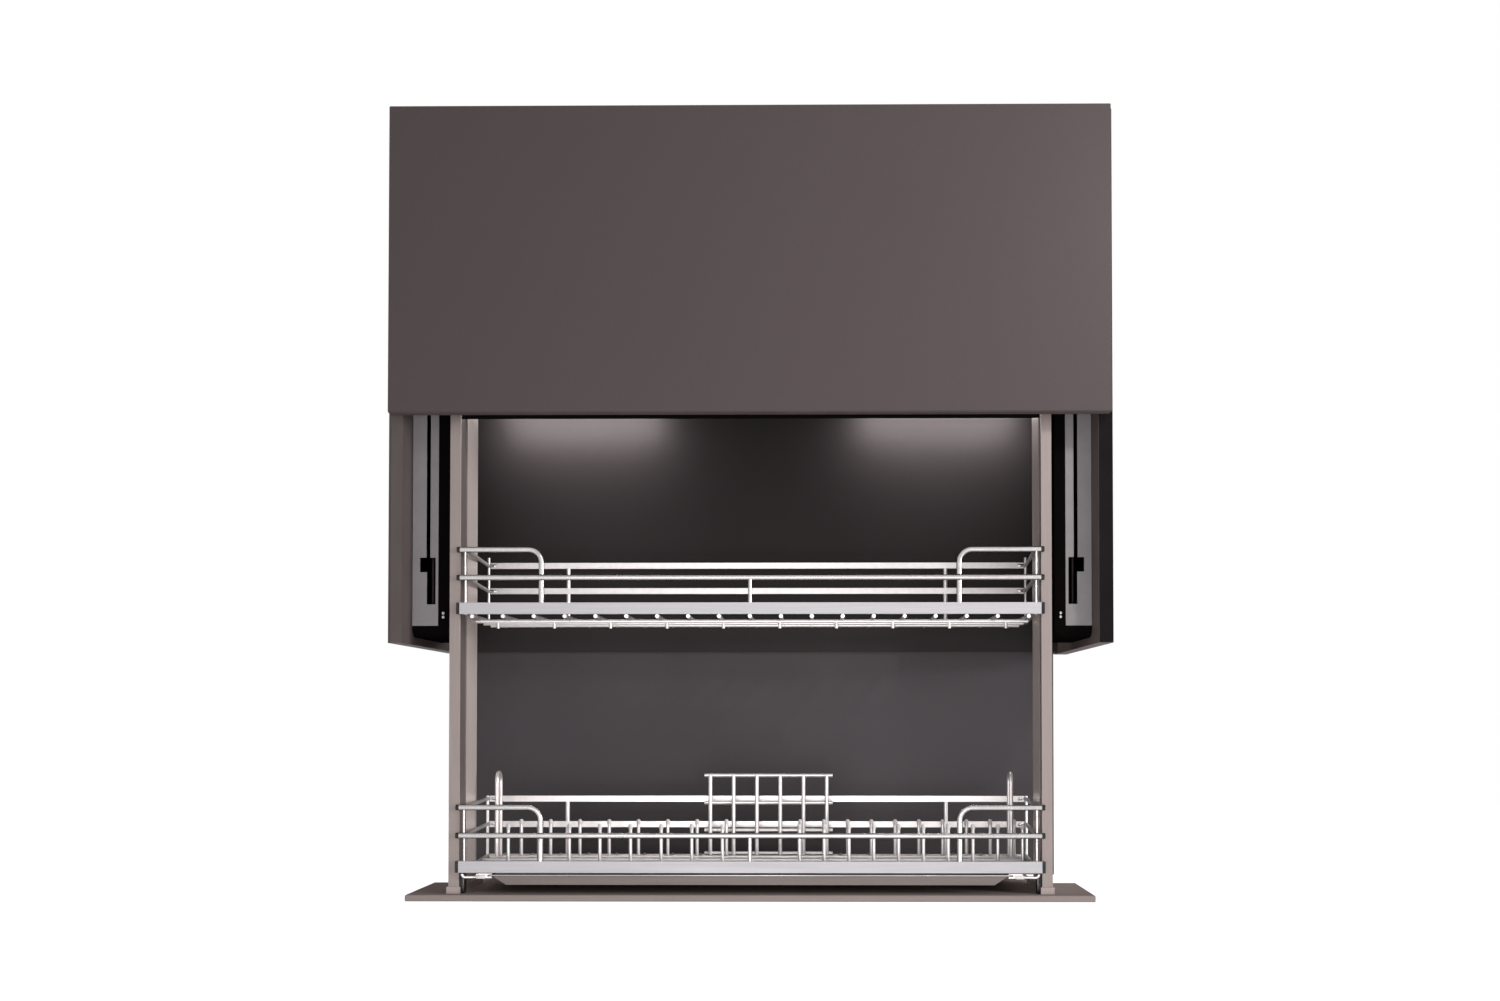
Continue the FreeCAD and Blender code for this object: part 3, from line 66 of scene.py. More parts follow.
# The camera, fitted to the photograph's frame of 1500 by 1001.
IMAGE_WIDTH = 1500
IMAGE_HEIGHT = 1001
CAMERA_PLACE = Vector((84.3 * MM, -2325 * MM, -425 * MM))
CAMERA_YAW = math.radians(0.6)
CAMERA_PITCH = math.radians(1.3)
FOCAL_PIXELS = 1577.7
AXIS_PIXEL = (801.2, 681.6)
SENSOR_WIDTH = 36

# The room.
FLOOR_DROP = 0.24
FLOOR_SIZE = 12
FLOOR_GLOW = 0.8
FLOOR_GREY = 0.8
FLOOR_ROUGHNESS = 0.9
AMBIENT = 0.26
AMBIENT_COLOUR = (1, 0.985, 0.975)
KEY_PLACE = Vector((0.95, -1.6, 0.55))
KEY_AIM = Vector((0.38, -0.4, 0.15))
KEY_ANGLE = math.radians(62)
KEY_POWER = 31
KEY_COLOUR = (1, 0.985, 0.97)
KEY_SOFTNESS = 0.08
SOFTBOX_PLACE = Vector((3.4, -2.2, 0.1))
SOFTBOX_AIM = Vector((0.0, -0.3, -0.1))
SOFTBOX_SIZE = 1.2
SOFTBOX_POWER = 95
SOFTBOX_COLOUR = (1, 0.985, 0.98)
LOW_PLACE = Vector((-0.05, -2.3, -0.62))
LOW_AIM = Vector((0, -0.4, -0.3))
LOW_SIZE = 0.8
LOW_POWER = 14
LOW_COLOUR = (1, 0.975, 0.965)
GLOW_FORWARD = 0.065
GLOW_DROP = 0.012
GLOW_WIDTH = 0.012
GLOW_TILT = math.radians(50)
GLOW_POWER = 0.58
GLOW_COLOUR = (1, 0.98, 0.965)


def linear(red, green, blue):
    """A colour written in 0 to 255, as the shader's linear values."""
    channels = []
    for value in (red, green, blue):
        share = value / 255
        channels.append(share / 12.92 if share <= 0.04045 else ((share + 0.055) / 1.055) ** 2.4)
    return (*channels, 1.0)


# Materials. Each takes its grain from the object's own coordinates, in metres.

NOISE_LOW = 0.3
NOISE_HIGH = 0.7
SMOOTHEST = 0.02


class Surface:
    """A principled material that is built up from procedural layers."""

    def __init__(self, name, colour, roughness, metallic=0.0):
        self.material = bpy.data.materials.new(name)
        self.material.use_nodes = True
        self.nodes = self.material.node_tree.nodes
        self.links = self.material.node_tree.links
        self.shader = self.nodes["Principled BSDF"]
        self.shader.inputs["Metallic"].default_value = metallic
        self.shader.inputs["Roughness"].default_value = roughness
        self.shader.inputs["Base Color"].default_value = colour
        self.colour = colour
        self.roughness = roughness
        self.coordinates = self.nodes.new("ShaderNodeTexCoord")
        self.height = None

    def noise(self, scale, stretch=(1, 1, 1), detail=3):
        """Noise whose features repeat about scale times a metre, stretched along an axis."""
        mapping = self.nodes.new("ShaderNodeMapping")
        mapping.inputs["Scale"].default_value = stretch
        texture = self.nodes.new("ShaderNodeTexNoise")
        texture.inputs["Scale"].default_value = scale
        texture.inputs["Detail"].default_value = detail
        self.links.new(self.coordinates.outputs["Object"], mapping.inputs["Vector"])
        self.links.new(mapping.outputs["Vector"], texture.inputs["Vector"])
        return texture.outputs["Fac"]

    def spread(self, source, low, high):
        """The source's middle range mapped to low and high."""
        ranged = self.nodes.new("ShaderNodeMapRange")
        ranged.inputs["From Min"].default_value = NOISE_LOW
        ranged.inputs["From Max"].default_value = NOISE_HIGH
        ranged.inputs["To Min"].default_value = low
        ranged.inputs["To Max"].default_value = high
        self.links.new(source, ranged.inputs["Value"])
        return ranged.outputs["Result"]

    def tones(self, source, amount):
        """Varies the base colour about its written value."""
        mix = self.nodes.new("ShaderNodeMix")
        mix.data_type = "RGBA"
        dark = [channel * (1 - amount) for channel in self.colour[:3]]
        light = [min(1, channel * (1 + amount)) for channel in self.colour[:3]]
        mix.inputs["A"].default_value = (*dark, 1)
        mix.inputs["B"].default_value = (*light, 1)
        self.links.new(self.spread(source, 0, 1), mix.inputs["Factor"])
        self.links.new(mix.outputs["Result"], self.shader.inputs["Base Color"])
        return self

    def sheen_change(self, source, amount):
        """Varies the roughness about its written value."""
        low = max(SMOOTHEST, self.roughness - amount)
        high = min(1, self.roughness + amount)
        self.links.new(self.spread(source, low, high), self.shader.inputs["Roughness"])
        return self

    def relief(self, source, depth, strength=1.0):
        """Adds a bump of that depth in metres over any earlier one."""
        bump = self.nodes.new("ShaderNodeBump")
        bump.inputs["Strength"].default_value = strength
        bump.inputs["Distance"].default_value = depth
        self.links.new(source, bump.inputs["Height"])
        if self.height is not None:
            self.links.new(self.height, bump.inputs["Normal"])
        self.height = bump.outputs["Normal"]
        self.links.new(self.height, self.shader.inputs["Normal"])
        return self

    def gleam(self, level):
        """The strength of the surface reflection, where 0.5 is an ordinary plastic."""
        self.shader.inputs["Specular IOR Level"].default_value = level
        return self

    def painted_side_light(self, axis, colour):
        """Another base colour on the faces that look along one axis of the object, used as painted
        light on those sides.
        """
        split = self.nodes.new("ShaderNodeSeparateXYZ")
        self.links.new(self.coordinates.outputs["Normal"], split.inputs["Vector"])
        share = self.nodes.new("ShaderNodeMath")
        share.operation = "ABSOLUTE"
        self.links.new(split.outputs[axis], share.inputs[0])
        mix = self.nodes.new("ShaderNodeMix")
        mix.data_type = "RGBA"
        mix.inputs["B"].default_value = colour
        self.links.new(share.outputs["Value"], mix.inputs["Factor"])
        toned = self.shader.inputs["Base Color"].links[0].from_socket
        self.links.new(toned, mix.inputs["A"])
        self.links.new(mix.outputs["Result"], self.shader.inputs["Base Color"])
        return self


def lacquer(name, colour, roughness, metallic=0.1):
    """Satin metallic lacquer: fine flake and a slight orange peel."""
    made = Surface(name, colour, roughness, metallic=metallic).gleam(0.12)
    made.tones(made.noise(900, detail=2), 0.05)
    made.sheen_change(made.noise(6, detail=4), 0.035)
    made.relief(made.noise(260, detail=2), 0.00002)
    return made.material


def laminate(name, colour):
    """Matt laminate with a faint upright grain."""
    made = Surface(name, colour, 0.6).gleam(0.18)
    made.tones(made.noise(45, (1, 1, 0.25), detail=5), 0.07)
    made.sheen_change(made.noise(14, detail=4), 0.05)
    made.relief(made.noise(700, (1, 1, 0.4), detail=3), 0.00003)
    return made.material


GRAIN_STRETCH = 0.015


def anodised(name, colour, roughness, along, metallic=0.85, gleam=0.5, painted_side_light=None):
    """Brushed aluminium with its grain along one axis, and if wanted a lighter tone painted on its
    sides as painted light.
    """
    stretch = [1, 1, 1]
    stretch[along] = GRAIN_STRETCH
    made = Surface(name, colour, roughness, metallic=metallic).gleam(gleam)
    made.tones(made.noise(1100, stretch, detail=2), 0.05)
    made.sheen_change(made.noise(350, stretch, detail=3), 0.06)
    made.relief(made.noise(1500, stretch, detail=2), 0.000012)
    # The side tone is painted light, not a finish of the metal.
    if painted_side_light:
        made.painted_side_light("X", painted_side_light)
    return made.material


def coated_steel(name, colour, roughness=0.45):
    """Powder coat with its fine pebble."""
    made = Surface(name, colour, roughness, metallic=0.1)
    made.tones(made.noise(60, detail=4), 0.05)
    made.sheen_change(made.noise(25, detail=3), 0.05)
    made.relief(made.noise(1400, detail=2), 0.00003)
    return made.material


EDGE_TINT = (0.04, 0.035, 0.035, 1)


def plated(name, colour, roughness, metallic=1.0):
    """Polished or zinc-plated metal, slightly uneven and darker at grazing angles."""
    made = Surface(name, colour, roughness, metallic=metallic)
    made.shader.inputs["Specular Tint"].default_value = EDGE_TINT
    made.tones(made.noise(120, detail=4), 0.05)
    made.sheen_change(made.noise(40, detail=4), 0.035)
    made.relief(made.noise(40, detail=0), 0.000002, 0.3)
    return made.material


def moulded(name, colour, roughness, gleam=0.4):
    """Moulded plastic or rubber with a spark-eroded grain."""
    made = Surface(name, colour, roughness).gleam(gleam)
    made.tones(made.noise(30, detail=3), 0.08)
    made.sheen_change(made.noise(80, detail=3), 0.06)
    made.relief(made.noise(1800, detail=2), 0.00002)
    return made.material


LAMP_COLOUR = linear(255, 249, 246)
LAMP_STRENGTH = 14


def opal(name, colour, strength):
    """A lit opal diffuser."""
    made = Surface(name, colour, 0.5)
    made.tones(made.noise(60, detail=2), 0.03)
    made.relief(made.noise(900, detail=2), 0.00002)
    made.shader.inputs["Emission Color"].default_value = LAMP_COLOUR
    made.shader.inputs["Emission Strength"].default_value = strength
    return made.material


# Painted light: the posts' sides are coloured lighter than their fronts to stand in for the light
# they catch.
POST_PAINTED_SIDE_LIGHT = linear(214, 202, 198)
FINISHES = {
    "cabinet_board": laminate("cabinet_board", linear(88, 80, 78)),
    "door_front": lacquer("door_front", linear(79, 71, 72), 0.42),
    "back_cover": lacquer("back_cover", linear(42, 38, 39), 0.5, 0.3),
    "rack_aluminium": anodised("rack_aluminium", linear(158, 146, 143), 0.4, 2, 0.3, 0.25),
    "housing_black": moulded("housing_black", linear(15, 13, 13), 0.6, 0),
    "slot_plate_grey": coated_steel("slot_plate_grey", linear(143, 139, 142)),
    "plated_steel": plated("plated_steel", linear(190, 190, 188), 0.3),
    "satin_bar": anodised("satin_bar", linear(178, 176, 180), 0.5, 0, 0.3, 0.3),
    "chrome_wire": plated("chrome_wire", linear(186, 182, 182), 0.25),
    "satin_wire": plated("satin_wire", linear(226, 222, 222), 0.32, 0.6),
    "back_sheet": lacquer("back_sheet", linear(70, 66, 69), 0.42),
    "dark_spindle": plated("dark_spindle", linear(34, 31, 30), 0.4),
    "end_cap_black": moulded("end_cap_black", linear(14, 13, 13), 0.25),
    "tray_grey": anodised("tray_grey", linear(114, 105, 103), 0.5, 0, 0.2, 0.3),
    "buffer_brown": moulded("buffer_brown", linear(52, 32, 24), 0.22),
    "motor_black": coated_steel("motor_black", linear(40, 39, 40), 0.5),
    "slider_plastic": moulded("slider_plastic", linear(52, 51, 53), 0.45),
    "bearing_brass": plated("bearing_brass", linear(196, 160, 98), 0.28),
    "belt_rubber": moulded("belt_rubber", linear(26, 26, 26), 0.6),
    "control_grey": moulded("control_grey", linear(80, 80, 82), 0.48),
    "lamp_aluminium": anodised("lamp_aluminium", linear(190, 188, 188), 0.4, 0),
    "lamp_diffuser": opal("lamp_diffuser", linear(244, 240, 234), LAMP_STRENGTH),
    "edge_dark": moulded("edge_dark", linear(108, 98, 98), 0.6, 0),
    # Black for the painted shade on the right side panel's front edge.
    "painted_shade_black": moulded("painted_shade_black", linear(30, 28, 29), 0.6, 0),
    "tip_white": moulded("tip_white", linear(226, 222, 220), 0.3),
    # Darker grey for the painted shade in the posts' grooves.
    "groove_shade_grey": anodised("groove_shade_grey", linear(110, 101, 98), 0.5, 2, 0.1, 0.2),
    "board": anodised("board_aluminium", linear(150, 139, 136), 0.6, 0, 0, 0),
    # The posts' material carries the painted side light.
    "post": anodised("post_aluminium", linear(145, 134, 131), 0.4, 2, 0.3, 0.25, POST_PAINTED_SIDE_LIGHT),
}

# Nodes that look unlike the rest of their slot.

SATIN_WIRES = [
    "upper_rear_guard", "lower_rear_guard", "upper_side_guards", "lower_side_guards",
    "upper_floor_grid", "lower_floor_grid", "divider_grid", "plate_pegs", "tray_hangers",
]
OWN_FINISH = {name: "satin_wire" for name in SATIN_WIRES}
OWN_FINISH.update({"bottom_board": "board", "cross_bar": "board", "rack_back_sheet": "back_sheet"})
for side_name in ("left", "right"):
    OWN_FINISH[f"door_spindle_{side_name}"] = "dark_spindle"
    # The posts take the finish with painted light on their sides.
    OWN_FINISH[f"side_post_{side_name}"] = "post"


def dress_nodes():
    """Gives every frame node its own finish or that of its material slot."""
    slot_of = {part["node"]: part["material_slot"] for part in frame["record"]["subparts"]}
    for name, node in NODES.items():
        node.data.materials.clear()
        node.data.materials.append(FINISHES[OWN_FINISH.get(name, slot_of[name])])


# Mesh helpers. Every added piece keeps its object at the origin and its place in its mesh.


WELD = 1e-6


def piece(name, mesh, slot, body, smooth=True):
    """An added object with its finish, on its body."""
    made = bpy.data.objects.new(name, mesh)
    bpy.context.scene.collection.objects.link(made)
    mesh.materials.append(FINISHES[slot])
    for polygon in mesh.polygons:
        polygon.use_smooth = smooth
    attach(made, body)
    return made


def islands(name):
    """The lowest and highest corners of each separate solid in a node, left to right."""
    mesh = NODES[name].data
    shape = bmesh.new()
    shape.from_mesh(mesh)
    bmesh.ops.remove_doubles(shape, verts=shape.verts, dist=WELD)
    left = set(shape.verts)
    found = []
    while left:
        reached = [left.pop()]
        members = []
        while reached:
            corner = reached.pop()
            members.append(corner.co.copy())
            for edge in corner.link_edges:
                other = edge.other_vert(corner)
                if other in left:
                    left.remove(other)
                    reached.append(other)
        low = Vector([min(point[axis] for point in members) for axis in range(3)])
        high = Vector([max(point[axis] for point in members) for axis in range(3)])
        found.append((low, high))
    shape.free()
    return sorted(found, key=lambda corners: (round(corners[0].y, 3), corners[0].x))


def lathe(shape, outline, origin, axis, segments=24):
    """Turns an outline of (distance along, radius) about an axis through the origin."""
    turn = Vector((0, 0, 1)).rotation_difference(axis).to_matrix()
    rings = []
    for along, radius in outline:
        ring = []
        for step in range(segments):
            angle = 2 * math.pi * step / segments
            spot = Vector((radius * math.cos(angle), radius * math.sin(angle), along))
            ring.append(shape.verts.new(origin + turn @ spot))
        rings.append(ring)
    for lower, upper in zip(rings, rings[1:]):
        for step in range(segments):
            after = (step + 1) % segments
            shape.faces.new((lower[step], lower[after], upper[after], upper[step]))
    shape.faces.new(list(reversed(rings[0])))
    shape.faces.new(rings[-1])


def rounded_block(shape, low, high, bevel, segments=3):
    """A box between two corners with rounded edges."""
    size = high - low
    made = bmesh.ops.create_cube(shape, size=1)["verts"]
    bmesh.ops.scale(shape, vec=size, verts=made)
    bmesh.ops.translate(shape, vec=(low + high) / 2, verts=made)
    edges = list({edge for corner in made for edge in corner.link_edges})
    bmesh.ops.bevel(shape, geom=edges, offset=bevel, segments=segments, affect="EDGES", profile=0.5)


def finished_mesh(name, shape):
    """The shape as a mesh with its faces turned outwards."""
    bmesh.ops.recalc_face_normals(shape, faces=shape.faces)
    mesh = bpy.data.meshes.new(name)
    shape.to_mesh(mesh)
    shape.free()
    return mesh


DOME_STEPS = 5
DOME_FLAT = 0.04


def dome(radius, height, start, steps=DOME_STEPS):
    """An outline that rises as a quarter ellipse to a small flat."""
    points = []
    for step in range(steps + 1):
        angle = math.pi / 2 * step / steps
        width = max(radius * math.cos(angle), radius * DOME_FLAT)
        points.append((start + height * math.sin(angle), width))
    return points


# Small added pieces.

SCREW_RADIUS = 1.9 * MM
SCREW_HEIGHT = 1.1 * MM
SCREW_RIM = 0.3 * MM
SOCKET_RADIUS = 0.8 * MM
SOCKET_FLOOR = 0.35 * MM


def lip_screws():
    """Domed heads with a socket in place of the plain discs."""
    shape = bmesh.new()
    for low, high in islands("housing_screws"):
        centre = (low + high) / 2
        seat = Vector((centre.x, high.y, centre.z))
        outline = [(0, SCREW_RADIUS), (SCREW_RIM, SCREW_RADIUS)]
        outline += dome(SCREW_RADIUS, SCREW_HEIGHT - SCREW_RIM, SCREW_RIM, 6)[1:4]
        outline += [(SCREW_HEIGHT - 0.1 * MM, SOCKET_RADIUS), (SOCKET_FLOOR, SOCKET_RADIUS * 0.9)]
        lathe(shape, outline, seat, Vector((0, -1, 0)), 18)
    made = piece("lip_screws", finished_mesh("lip_screws", shape), "plated_steel", "carcass")
    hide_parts("housing_screws")


TIP_RADIUS = 2.75 * MM
TIP_LENGTH = 7 * MM
TIP_ABOVE_PEG = 0.4 * MM


def peg_tips():
    """Clear-white caps over the pegs' heads."""
    shape = bmesh.new()
    for low, high in islands("plate_pegs"):
        base = high.z - TIP_LENGTH + TIP_ABOVE_PEG
        seat = Vector(((low.x + high.x) / 2, (low.y + high.y) / 2, base))
        outline = [(0, TIP_RADIUS * 0.86), (0.5 * MM, TIP_RADIUS)]
        outline += [(TIP_LENGTH - TIP_RADIUS, TIP_RADIUS)]
        outline += dome(TIP_RADIUS, TIP_RADIUS, TIP_LENGTH - TIP_RADIUS)[1:]
        lathe(shape, outline, seat, Vector((0, 0, 1)), 16)
    piece("peg_tips", finished_mesh("peg_tips", shape), "tip_white", "rack")


CLIP_SIZE = Vector((11, 13, 4.2)) * MM
CLIP_GAP = 3 * MM
CLIP_ABOVE_WIRE = 2.2 * MM
CLIP_BEVEL = 0.8 * MM


def tray_clips():
    """White clips that hold the tray's runners on their bent wires."""
    shape = bmesh.new()
    tray_low, tray_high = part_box("drip_tray")
    hanger_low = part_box("tray_hangers")[0]
    across = tray_high.x + CLIP_GAP + CLIP_SIZE.x / 2
    for side in (-1, 1):
        middle = Vector((side * across, tray_low.y + CLIP_GAP, hanger_low.z + CLIP_ABOVE_WIRE))
        rounded_block(shape, middle - CLIP_SIZE / 2, middle + CLIP_SIZE / 2, CLIP_BEVEL)
    piece("tray_clips", finished_mesh("tray_clips", shape), "tip_white", "rack")


SLEEVE_LENGTH = 9 * MM
SLEEVE_RADIUS = 3.5 * MM
SLEEVE_MOUTH = 2.94 * MM
SLEEVE_BEVEL = 0.6 * MM
SLEEVE_INSET = 0.3 * MM
SLEEVE_DROPS = (4 * MM, 39 * MM)


def bar_sleeves():
    """Short sleeves where the flat rear bars meet the corner posts."""
    shape = bmesh.new()
    for level in ("upper", "lower"):
        low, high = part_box(f"{level}_rear_guard")
        depth = (low.y + high.y) / 2
        for drop in SLEEVE_DROPS:
            for side in (-1, 1):
                start = Vector((side * (high.x + SLEEVE_INSET), depth, high.z - drop))
                outline = [(0, SLEEVE_MOUTH), (SLEEVE_BEVEL, SLEEVE_RADIUS)]
                outline += [(SLEEVE_LENGTH - SLEEVE_BEVEL, SLEEVE_RADIUS)]
                outline += [(SLEEVE_LENGTH, SLEEVE_MOUTH)]
                lathe(shape, outline, start, Vector((-side, 0, 0)), 16)
    piece("bar_sleeves", finished_mesh("bar_sleeves", shape), "chrome_wire", "rack")


def lower_side_rails():
    """The lower side guards with their rear posts cut level with the rear bar."""
    mesh = NODES["lower_side_guards"].data.copy()
    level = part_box("lower_rear_guard")[1].z
    for corner in mesh.vertices:
        corner.co.z = min(corner.co.z, level)
    mesh.materials.clear()
    made = piece("lower_side_rails", mesh, "satin_wire", "rack")
    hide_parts("lower_side_guards")


BAND_THICKNESS = 0.3 * MM
BAND_INSET = 0.4 * MM
BAND_BEVEL = 0.09 * MM


def door_edge_band():
    """The dark edging on the door's lower edge."""
    shape = bmesh.new()
    low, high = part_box("door_panel")
    inset = Vector((BAND_INSET, BAND_INSET, 0))
    bottom = low + inset - Vector((0, 0, BAND_THICKNESS))
    top = Vector((high.x - BAND_INSET, high.y - BAND_INSET, low.z))
    rounded_block(shape, bottom, top, BAND_BEVEL, 2)
    mesh = finished_mesh("door_edge_band", shape)
    piece("door_edge_band", mesh, "edge_dark", "door", smooth=False)


def painted_shade_panel_edge():
    """A black sheet on the front of the right side panel only: painted shade for that edge, which
    falls in shade.
    """
    shape = bmesh.new()
    low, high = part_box("side_panel_right")
    corner = Vector((low.x + BAND_INSET, low.y - BAND_THICKNESS, low.z + BAND_INSET))
    far = Vector((high.x - BAND_INSET, low.y, high.z - BAND_INSET))
    rounded_block(shape, corner, far, BAND_BEVEL, 2)
    mesh = finished_mesh("painted_shade_panel_edge", shape)
    piece("painted_shade_panel_edge", mesh, "painted_shade_black", "carcass", smooth=False)


SEAL_THICKNESS = 4.4 * MM
SEAL_BELOW_DOOR = 3.8 * MM
SEAL_SIDE_GAP = 4 * MM
SEAL_BEVEL = 0.5 * MM


def fascia_seal_and_shade():
    """The black strip along the fascia's lower edge, behind the raised door: a seal, and also
    painted shade for the dark band under the door.
    """
    shape = bmesh.new()
    fascia_low, fascia_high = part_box("fascia_panel")
    door_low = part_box("door_panel")[0]
    inset = (fascia_high.y - fascia_low.y - SEAL_THICKNESS) / 2
    post_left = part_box("side_post_left")[1].x
    post_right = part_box("side_post_right")[0].x
    base = door_low.z - SEAL_BELOW_DOOR
    low = Vector((post_left + SEAL_SIDE_GAP, fascia_low.y + inset, base))
    high = Vector((post_right - SEAL_SIDE_GAP, fascia_high.y - inset, fascia_low.z))
    rounded_block(shape, low, high, SEAL_BEVEL)
    mesh = finished_mesh("fascia_seal_and_shade", shape)
    piece("fascia_seal_and_shade", mesh, "housing_black", "carcass", smooth=False)


FITTING_SIZE = Vector((6.5, 12, 24)) * MM
FITTING_GAP = 0.2 * MM
FITTING_SETBACK = 3 * MM
FITTING_BEVEL = 1 * MM


def foot_fittings():
    """Dark levelling blocks between the posts' feet and the board."""
    shape = bmesh.new()
    board_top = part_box("bottom_board")[1].z
    for side, name in ((-1, "side_post_left"), (1, "side_post_right")):
        low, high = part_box(name)
        inner = high.x if side < 0 else low.x
        near = inner - side * FITTING_SIZE.x
        left, right = sorted((near, inner - side * FITTING_GAP))
        front = low.y + FITTING_SETBACK
        base = board_top + FITTING_GAP
        corner = Vector((left, front, base))
        far = Vector((right, front + FITTING_SIZE.y, base + FITTING_SIZE.z))
        rounded_block(shape, corner, far, FITTING_BEVEL)
    piece("foot_fittings", finished_mesh("foot_fittings", shape), "end_cap_black", "rack")


POST_FLANGE = 3 * MM
POST_WEB = 4.7 * MM
POST_LAND = 62 * MM
# Sizes of the painted shade strips in the posts' grooves.
GROOVE_SHADE_THICKNESS = 0.4 * MM
GROOVE_SHADE_GAP = 0.6 * MM
GROOVE_SHADE_BEVEL = 0.12 * MM


def painted_groove_shade():
    """Darker strips in the channels on the posts' inner sides: painted shade in the grooves, which
    also keeps the painted side light off them.
    """
    shape = bmesh.new()
    for side, name in ((-1, "side_post_left"), (1, "side_post_right")):
        low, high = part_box(name)
        outer = low.x if side < 0 else high.x
        web = outer - side * POST_WEB
        left, right = sorted((web, web - side * GROOVE_SHADE_THICKNESS))
        corner = Vector((left, low.y + POST_FLANGE + GROOVE_SHADE_GAP, low.z + GROOVE_SHADE_GAP))
        far = Vector((right, high.y - POST_LAND - GROOVE_SHADE_GAP, high.z - GROOVE_SHADE_GAP))
        rounded_block(shape, corner, far, GROOVE_SHADE_BEVEL, 2)
    mesh = finished_mesh("painted_groove_shade", shape)
    piece("painted_groove_shade", mesh, "groove_shade_grey", "rack", smooth=False)


BEAD_RADIUS = 1 * MM
BEAD_BELOW_BAR = 3.4 * MM
BEAD_END_GAP = 2 * MM
BEAD_BEVEL = 0.3 * MM


def tray_bead():
    """The bright rolled bead along the tray's front wall, from clip to clip."""
    shape = bmesh.new()
    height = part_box("lower_front_bar")[0].z - BEAD_BELOW_BAR
    tray_low, tray_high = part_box("drip_tray")
    start = Vector((tray_low.x + BEAD_END_GAP, tray_low.y - BEAD_RADIUS, height))
    length = tray_high.x - tray_low.x - 2 * BEAD_END_GAP
    outline = [(0, BEAD_RADIUS * 0.8), (BEAD_BEVEL, BEAD_RADIUS)]
    outline += [(length - BEAD_BEVEL, BEAD_RADIUS), (length, BEAD_RADIUS * 0.8)]
    lathe(shape, outline, start, Vector((1, 0, 0)), 16)
    piece("tray_bead", finished_mesh("tray_bead", shape), "plated_steel", "rack")


BACK_SCREW_RADIUS = 3.2 * MM
BACK_SCREW_PITCH = 140 * MM
BACK_SCREW_MARGIN = 9 * MM
BACK_SCREW_RIM = 0.5 * MM
BACK_SCREW_DOME = 1.2 * MM


def back_screws():
    """Pan-head screws with a recess round the back panel's edge, where no rail covers them."""
    shape = bmesh.new()
    low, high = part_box("back_panel")
    wide = high.x - low.x - 2 * BACK_SCREW_MARGIN
    tall = high.z - low.z - 2 * BACK_SCREW_MARGIN
    columns = round(wide / BACK_SCREW_PITCH)
    rows = round(tall / BACK_SCREW_PITCH)
    spots = []
    for column in range(columns + 1):
        across = low.x + BACK_SCREW_MARGIN + wide * column / columns
        spots += [(across, low.z + BACK_SCREW_MARGIN), (across, high.z - BACK_SCREW_MARGIN)]
    for row in range(1, rows):
        height = low.z + BACK_SCREW_MARGIN + tall * row / rows
        spots += [(low.x + BACK_SCREW_MARGIN, height), (high.x - BACK_SCREW_MARGIN, height)]
    rails = islands("hanging_rails")
    for across, height in spots:
        under_rail = [
            rail for rail in rails
            if rail[0].z - BACK_SCREW_RADIUS < height < rail[1].z + BACK_SCREW_RADIUS
            and rail[0].x - BACK_SCREW_RADIUS < across < rail[1].x + BACK_SCREW_RADIUS
        ]
        if under_rail:
            continue
        seat = Vector((across, high.y, height))
        outline = [(0, BACK_SCREW_RADIUS), (BACK_SCREW_RIM, BACK_SCREW_RADIUS)]
        outline += dome(BACK_SCREW_RADIUS, BACK_SCREW_DOME, BACK_SCREW_RIM)[1:4]
        outline += [(1.5 * MM, 1 * MM), (0.6 * MM, 0.7 * MM)]
        lathe(shape, outline, seat, Vector((0, 1, 0)), 18)
    piece("back_screws", finished_mesh("back_screws", shape), "plated_steel", "carcass")


# Light, floor and camera.


def seen_directly(nodes, links):
    """A socket that is 1 for camera, glossy and transmission rays, and 0 for the others."""
    path = nodes.new("ShaderNodeLightPath")
    seen = path.outputs["Is Camera Ray"]
    for ray in ("Is Glossy Ray", "Is Transmission Ray"):
        larger = nodes.new("ShaderNodeMath")
        larger.operation = "MAXIMUM"
        links.new(seen, larger.inputs[0])
        links.new(path.outputs[ray], larger.inputs[1])
        seen = larger.outputs["Value"]
    return seen


def mixed_world():
    """A grey sky for the light, and plain white behind the object and in its reflections."""
    world = bpy.data.worlds.new("studio")
    bpy.context.scene.world = world
    world.use_nodes = True
    nodes = world.node_tree.nodes
    links = world.node_tree.links
    nodes.clear()
    output = nodes.new("ShaderNodeOutputWorld")
    ambient = nodes.new("ShaderNodeBackground")
    ambient.inputs["Color"].default_value = (*AMBIENT_COLOUR, 1)
    ambient.inputs["Strength"].default_value = AMBIENT
    backdrop = nodes.new("ShaderNodeBackground")
    backdrop.inputs["Color"].default_value = (1, 1, 1, 1)
    backdrop.inputs["Strength"].default_value = 1
    mix = nodes.new("ShaderNodeMixShader")
    links.new(seen_directly(nodes, links), mix.inputs["Fac"])
    links.new(ambient.outputs["Background"], mix.inputs[1])
    links.new(backdrop.outputs["Background"], mix.inputs[2])
    links.new(mix.outputs["Shader"], output.inputs["Surface"])


